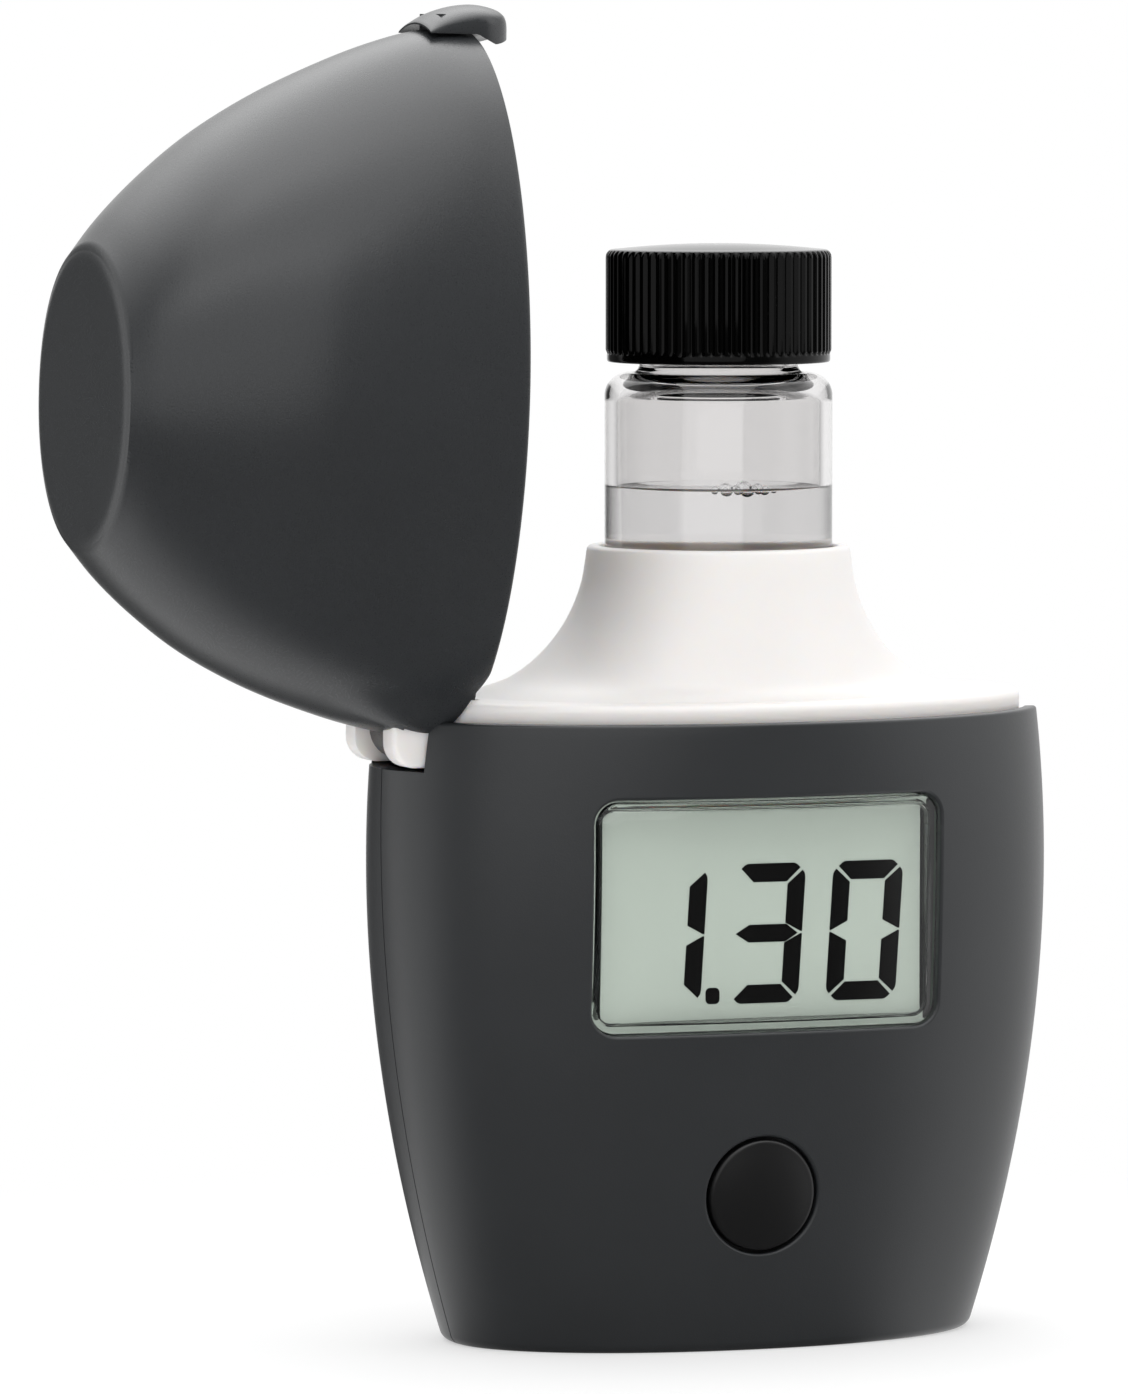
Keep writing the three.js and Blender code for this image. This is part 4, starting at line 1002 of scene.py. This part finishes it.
def fill(made, **inputs):
    for name, value in inputs.items():
        made.inputs[name.replace("_", " ")].default_value = value
    return made


def node(tree, kind, **inputs):
    return fill(tree.nodes.new(kind), **inputs)


def start_look(name):
    look = bpy.data.materials.new(name)
    look.use_nodes = True
    tree = look.node_tree
    shader = next(n for n in tree.nodes if n.type == "BSDF_PRINCIPLED")
    return look, tree, shader


def maths(tree, operation, first, second):
    made = tree.nodes.new("ShaderNodeMath")
    made.operation = operation
    tree.links.new(first, made.inputs[0])
    tree.links.new(second, made.inputs[1])
    return made.outputs["Value"]


def vector_maths(tree, operation, vector):
    made = tree.nodes.new("ShaderNodeVectorMath")
    made.operation = operation
    tree.links.new(vector, made.inputs[0])
    return made


def glow(tree, kind, strength):
    """A white emission or background, as strong as another node says."""
    made = node(tree, kind, Color=WHITE)
    tree.links.new(strength, made.inputs["Strength"])
    return made


def noise(tree, place, **inputs):
    """Noise in the object's own coordinates."""
    made = node(tree, "ShaderNodeTexNoise", **inputs)
    tree.links.new(place.outputs["Object"], made.inputs["Vector"])
    return made.outputs["Fac"]


def gloss_and_grain(tree, shader, pattern, smoothest, roughest, strength, depth):
    """Lets a noise pattern vary a shader's roughness and its normal."""
    gloss = node(tree, "ShaderNodeMapRange", To_Min=smoothest, To_Max=roughest)
    tree.links.new(pattern, gloss.inputs["Value"])
    tree.links.new(gloss.outputs["Result"], shader.inputs["Roughness"])
    relief = node(tree, "ShaderNodeBump", Strength=strength, Distance=depth)
    tree.links.new(pattern, relief.inputs["Height"])
    tree.links.new(relief.outputs["Normal"], shader.inputs["Normal"])


def mixed(tree, share, first, second):
    made = tree.nodes.new("ShaderNodeMixShader")
    tree.links.new(share, made.inputs["Fac"])
    tree.links.new(first.outputs[0], made.inputs[1])
    tree.links.new(second.outputs[0], made.inputs[2])
    return made


def by_ray(tree, shown, others):
    """The shader shown, with another one in its place for each kind of ray that is named."""
    path = tree.nodes.new("ShaderNodeLightPath")
    for ray, other in others:
        shown = mixed(tree, path.outputs[ray], shown, other)
    return shown.outputs[0]


def linear(values):
    """Display values of 0..255 turned into linear ones."""
    return [v / 255 / 12.92 if v <= 10 else ((v / 255 + 0.055) / 1.055) ** 2.4 for v in values]


def moulded(name, colour, roughness, vary, rough_vary, grain, bump, depth,
            metallic=0.0, specular=0.5, subsurface=0.0):
    """Moulded plastic, metal or the like: slow colour and gloss variation, fine grain in the normal.
    colour is in 0..255 display values and depth, the grain's, in micrometres."""
    look, tree, shader = start_look(name)
    colour = linear(colour)
    place = tree.nodes.new("ShaderNodeTexCoord")
    ramp = tree.nodes.new("ShaderNodeValToRGB")
    darker, lighter = ramp.color_ramp.elements
    darker.position, lighter.position = 0.3, 0.7
    darker.color = [c * (1 - vary) for c in colour] + [1.0]
    lighter.color = [min(1.0, c * (1 + vary)) for c in colour] + [1.0]
    tree.links.new(noise(tree, place, Scale=90.0, Detail=3.0), ramp.inputs["Fac"])
    tree.links.new(ramp.outputs["Color"], shader.inputs["Base Color"])
    fine = noise(tree, place, Scale=grain, Detail=2.0, Roughness=0.6)
    smoothest = max(0.02, roughness - rough_vary)
    gloss_and_grain(tree, shader, fine, smoothest, roughness + rough_vary, bump, depth * 1e-6)
    fill(shader, Metallic=metallic, Specular_IOR_Level=specular)
    if subsurface:
        reach = (0.0012, 0.0010, 0.0008)
        fill(shader, Subsurface_Weight=subsurface, Subsurface_Radius=reach, Subsurface_Scale=1.0)
    return look


def clear(name, colour, ior, shade, waves=0.0):
    """Clear glass, plastic or water. Lamps shine through it, less the shade's share."""
    look, tree, shader = start_look(name)
    fill(shader, Base_Color=colour, Transmission_Weight=1.0, IOR=ior)
    slow = noise(tree, tree.nodes.new("ShaderNodeTexCoord"), Scale=160.0, Detail=1.0)
    gloss_and_grain(tree, shader, slow, 0.0, 0.01, waves, 0.0001)
    film = node(tree, "ShaderNodeBsdfTransparent", Color=shade)
    shown = by_ray(tree, shader, (("Is Diffuse Ray", film), ("Is Shadow Ray", film)))
    out = next(n for n in tree.nodes if n.type == "OUTPUT_MATERIAL")
    tree.links.new(shown, out.inputs["Surface"])
    return look


charcoal = moulded("charcoal_plastic", (43, 45, 47), 0.36, 0.05, 0.06, 6500, 0.22, 40, specular=0.55)
lid_charcoal = moulded("lid_charcoal_plastic", (42, 44, 46), 0.29, 0.05, 0.06, 6500, 0.25, 40, specular=0.62)
white_plastic = moulded("white_plastic", (238, 235, 233), 0.38, 0.01, 0.04, 5000, 0.05, 20, subsurface=0.6)
button_black = moulded("button_black", (17, 17, 18), 0.34, 0.08, 0.05, 6000, 0.12, 30)
cap_black = moulded("cap_black", (2, 2, 2), 0.1, 0.1, 0.04, 3000, 0.05, 30, specular=0.16)
works_black = moulded("works_black", (26, 26, 28), 0.45, 0.1, 0.08, 5000, 0.15, 30)
panel_look = moulded("panel_grey", (200, 207, 199), 0.5, 0.015, 0.04, 9000, 0.04, 10, specular=0.1)
figure_black = moulded("figure_black", (3, 3, 3), 0.6, 0.1, 0.05, 9000, 0.03, 10, specular=0.0)
board_green = moulded("board_green", (38, 92, 58), 0.35, 0.12, 0.08, 2500, 0.2, 40)
steel = moulded("steel", (188, 190, 194), 0.28, 0.05, 0.08, 9000, 0.08, 20, metallic=1.0)
jacket = moulded("cell_jacket", (150, 70, 52), 0.3, 0.08, 0.05, 3000, 0.05, 20, metallic=0.4)
elastomer = moulded("elastomer", (150, 150, 156), 0.6, 0.06, 0.06, 4000, 0.1, 30)
amber = moulded("amber_film", (214, 170, 92), 0.3, 0.06, 0.06, 4000, 0.05, 20)
lens_look = clear("window_clear", (0.97, 0.99, 0.975, 1.0), 1.49, (0.96, 0.975, 0.965, 1.0))
glass_look = clear("vial_glass_clear", (0.85, 0.84, 0.838, 1.0), 1.5, (0.86, 0.85, 0.85, 1.0), 0.02)
liquid_look = clear("sample_clear", (0.99, 0.995, 0.998, 1.0), 1.333, (0.97, 0.975, 0.98, 1.0))


# The dressed pieces

finish_piece(make_front(), "housing", charcoal, "front_shell")
finish_piece(make_rear(), "housing", charcoal, "rear_shell")
finish_piece(make_collar(), "housing", white_plastic, "cuvette_collar")
finish_piece(make_window(), "housing", lens_look, "display_window")
finish_piece(make_figures(), "housing", figure_black)
finish_piece(make_button(), "button", button_black, "push_button")
finish_piece(make_lid(), "lid", lid_charcoal, "lid_shell")
finish_piece(make_latch(), "lid", lid_charcoal, "lid_latch")
finish_piece(make_glass(), "cuvette", glass_look, "cuvette_glass")
finish_piece(make_liquid(), "cuvette", liquid_look, "sample_liquid")
finish_piece(make_cap(), "cap", cap_black, "cuvette_cap")
spring = make_spring()
finish_piece(spring, "housing", steel, "lifter_spring")
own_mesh(spring)

LOOKS = (
    (panel_look, "lcd_panel"), (elastomer, "zebra_connector"), (jacket, "battery"),
    (charcoal, "battery_cover"), (board_green, "circuit_board detector_board"),
    (works_black, "lcd_frame control_chip tactile_switch cuvette_holder vial_lifter photo_detector"),
    (works_black, "amplifier_chip"), (white_plastic, "switch_plunger cap_liner"),
    (amber, "light_emitter detector_ribbon"), (steel, "battery_spring battery_contact hinge_pin"),
    (steel, "shell_screw_left shell_screw_right shell_screw_low board_screw_left board_screw_right"),
)
for look, names in LOOKS:
    for name in names.split():
        for material_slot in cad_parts[name].material_slots:
            material_slot.material = look


# Floor, light and camera: metres, apart from FLOOR_HALF

FRONT = (-0.36, -0.93, 0.06)
BACK = (0.36, 0.93, -0.06)
RIGHT = (0.93, -0.36, 0.0)
PATCH = (-0.30, 0.95, -0.03)
ABOVE = (0.1, 0.35, 0.93)
WALL_LIGHT = 0.97
FRONT_LIGHT = 0.14
PATCH_SHARE = 0.1
TOP_LIGHT = 2.3
MATTE_LESS = 0.32
FLOOR_GLOW = 0.5
FLOOR_HALF = 3000.0
FLOOR_NEAR = 0.045
FLOOR_FAR = 0.13
SIDE_LIGHT = 0.06
CLEAR_DARK = 0.04
CAMERA_PLACE = (-0.33715, -0.83447, 0.11386)
CAMERA_AIM = (0.3610, 0.9303, -0.0648)
CAMERA_LENS = 268.12
LAMP_TARGET = (0, 0, 0.05)


def ramp_of(tree, vector, direction, low, high, start, end):
    """A smooth value from low to high as the vector turns towards a direction."""
    dot = vector_maths(tree, "DOT_PRODUCT", vector)
    dot.inputs[1].default_value = Vector(direction).normalized()
    value = node(tree, "ShaderNodeMapRange", From_Min=start, From_Max=end, To_Min=low, To_Max=high)
    value.interpolation_type = "SMOOTHSTEP"
    tree.links.new(dot.outputs["Value"], value.inputs["Value"])
    return value.outputs["Result"]


def room_light(tree, direction):
    """How bright the room's walls and floor are in a direction: dark in front, with a narrow dark patch
    behind the object and a little to its left."""
    front = ramp_of(tree, direction, FRONT, WALL_LIGHT, FRONT_LIGHT, 0.15, 0.7)
    patch = ramp_of(tree, direction, PATCH, 1.0, PATCH_SHARE, 0.90, 0.985)
    return maths(tree, "MULTIPLY", front, patch)


def dim_sides(tree, direction, shown, start, end):
    """Darkens a level towards the object's right and left."""
    for side in (RIGHT, [-v for v in RIGHT]):
        dimmer = ramp_of(tree, direction, side, 1.0, SIDE_LIGHT, start, end)
        shown = maths(tree, "MULTIPLY", shown, dimmer)
    return shown


def behind_light(tree, direction):
    """What clear parts show: white behind them and dark to the sides. Light that was mirrored inside
    them on its way also finds the dark side that the object faces."""
    behind = ramp_of(tree, direction, BACK, CLEAR_DARK, 1.0, -0.1, 0.3)
    before = ramp_of(tree, direction, FRONT, CLEAR_DARK, 1.0, -0.1, 0.3)
    mirrored = dim_sides(tree, direction, behind, 0.5, 0.88)
    straight = dim_sides(tree, direction, maths(tree, "MAXIMUM", behind, before), 0.55, 0.92)
    path = tree.nodes.new("ShaderNodeLightPath")
    shown = tree.nodes.new("ShaderNodeMix")
    tree.links.new(path.outputs["Glossy Depth"], shown.inputs["Factor"])
    tree.links.new(straight, shown.inputs["A"])
    tree.links.new(mirrored, shown.inputs["B"])
    return shown.outputs["Result"]


def make_floor():
    """A pale floor: matte and shaded near the object, plain white where it ends, and as bright as the
    room in mirrored and clear parts."""
    corners = [(x * FLOOR_HALF, y * FLOOR_HALF, 0) for x, y in ((-1, -1), (1, -1), (1, 1), (-1, 1))]
    floor = new_object("floor", corners, [(0, 1, 2, 3)])
    look, tree, _ = start_look("floor_white")
    tree.nodes.clear()
    links = tree.links
    place = tree.nodes.new("ShaderNodeTexCoord").outputs["Object"]
    far = node(tree, "ShaderNodeMapRange", From_Min=FLOOR_NEAR, From_Max=FLOOR_FAR, To_Min=FLOOR_GLOW)
    far.interpolation_type = "SMOOTHSTEP"
    links.new(vector_maths(tree, "LENGTH", place).outputs["Value"], far.inputs["Value"])
    matte = node(tree, "ShaderNodeBsdfDiffuse", Color=(0.96, 0.96, 0.96, 1.0))
    white = node(tree, "ShaderNodeEmission", Color=WHITE)
    seen = mixed(tree, far.outputs["Result"], matte, white)
    direction = vector_maths(tree, "NORMALIZE", place).outputs["Vector"]
    mirrored = glow(tree, "ShaderNodeEmission", room_light(tree, direction))
    through = glow(tree, "ShaderNodeEmission", behind_light(tree, direction))
    rays = (("Is Glossy Ray", mirrored), ("Is Transmission Ray", through), ("Is Camera Ray", seen))
    out = tree.nodes.new("ShaderNodeOutputMaterial")
    links.new(by_ray(tree, matte, rays), out.inputs["Surface"])
    floor.data.materials.append(look)


def make_world():
    """White where the camera looks. For gloss and light it is a white room, dark on the side that
    the object faces and brightest overhead. It lights matte surfaces less than it shows in gloss."""
    world = bpy.data.worlds.new("studio")
    bpy.context.scene.world = world
    world.use_nodes = True
    tree = world.node_tree
    tree.nodes.clear()
    links = tree.links
    place = tree.nodes.new("ShaderNodeTexCoord").outputs["Generated"]
    above = ramp_of(tree, place, ABOVE, 0.0, TOP_LIGHT, 0.6, 0.97)
    walls = maths(tree, "ADD", room_light(tree, place), above)
    path = tree.nodes.new("ShaderNodeLightPath")
    less = node(tree, "ShaderNodeMapRange", To_Min=1.0 - MATTE_LESS, To_Max=1.0)
    links.new(path.outputs["Is Glossy Ray"], less.inputs["Value"])
    room = glow(tree, "ShaderNodeBackground", maths(tree, "MULTIPLY", walls, less.outputs["Result"]))
    through = glow(tree, "ShaderNodeBackground", behind_light(tree, place))
    white = node(tree, "ShaderNodeBackground", Color=WHITE)
    out = tree.nodes.new("ShaderNodeOutputWorld")
    rays = (("Is Transmission Ray", through), ("Is Camera Ray", white))
    links.new(by_ray(tree, room, rays), out.inputs["Surface"])


def aimed(name, data, place, direction):
    obj = bpy.data.objects.new(name, data)
    bpy.context.scene.collection.objects.link(obj)
    obj.location = place
    obj.rotation_euler = direction.to_track_quat("-Z", "Y").to_euler()
    return obj


def area_lamp(name, place, size, power):
    data = bpy.data.lights.new(name, "AREA")
    data.shape = "RECTANGLE"
    data.size, data.size_y = size
    data.energy = power
    aimed(name, data, place, Vector(LAMP_TARGET) - Vector(place))


def make_camera():
    data = bpy.data.cameras.new("camera")
    data.lens = CAMERA_LENS
    data.sensor_width = 36
    bpy.context.scene.camera = aimed("camera", data, CAMERA_PLACE, Vector(CAMERA_AIM))


make_floor()
make_world()
area_lamp("left_box", (-0.38, -0.70, 0.32), (1.1, 0.9), 2.45)
area_lamp("right_box", (0.50, -0.35, 0.50), (0.4, 0.5), 0.4)
area_lamp("top_box", (-0.15, -0.36, 0.66), (0.8, 0.5), 1.6)
make_camera()
bpy.context.scene.view_settings.view_transform = "Standard"
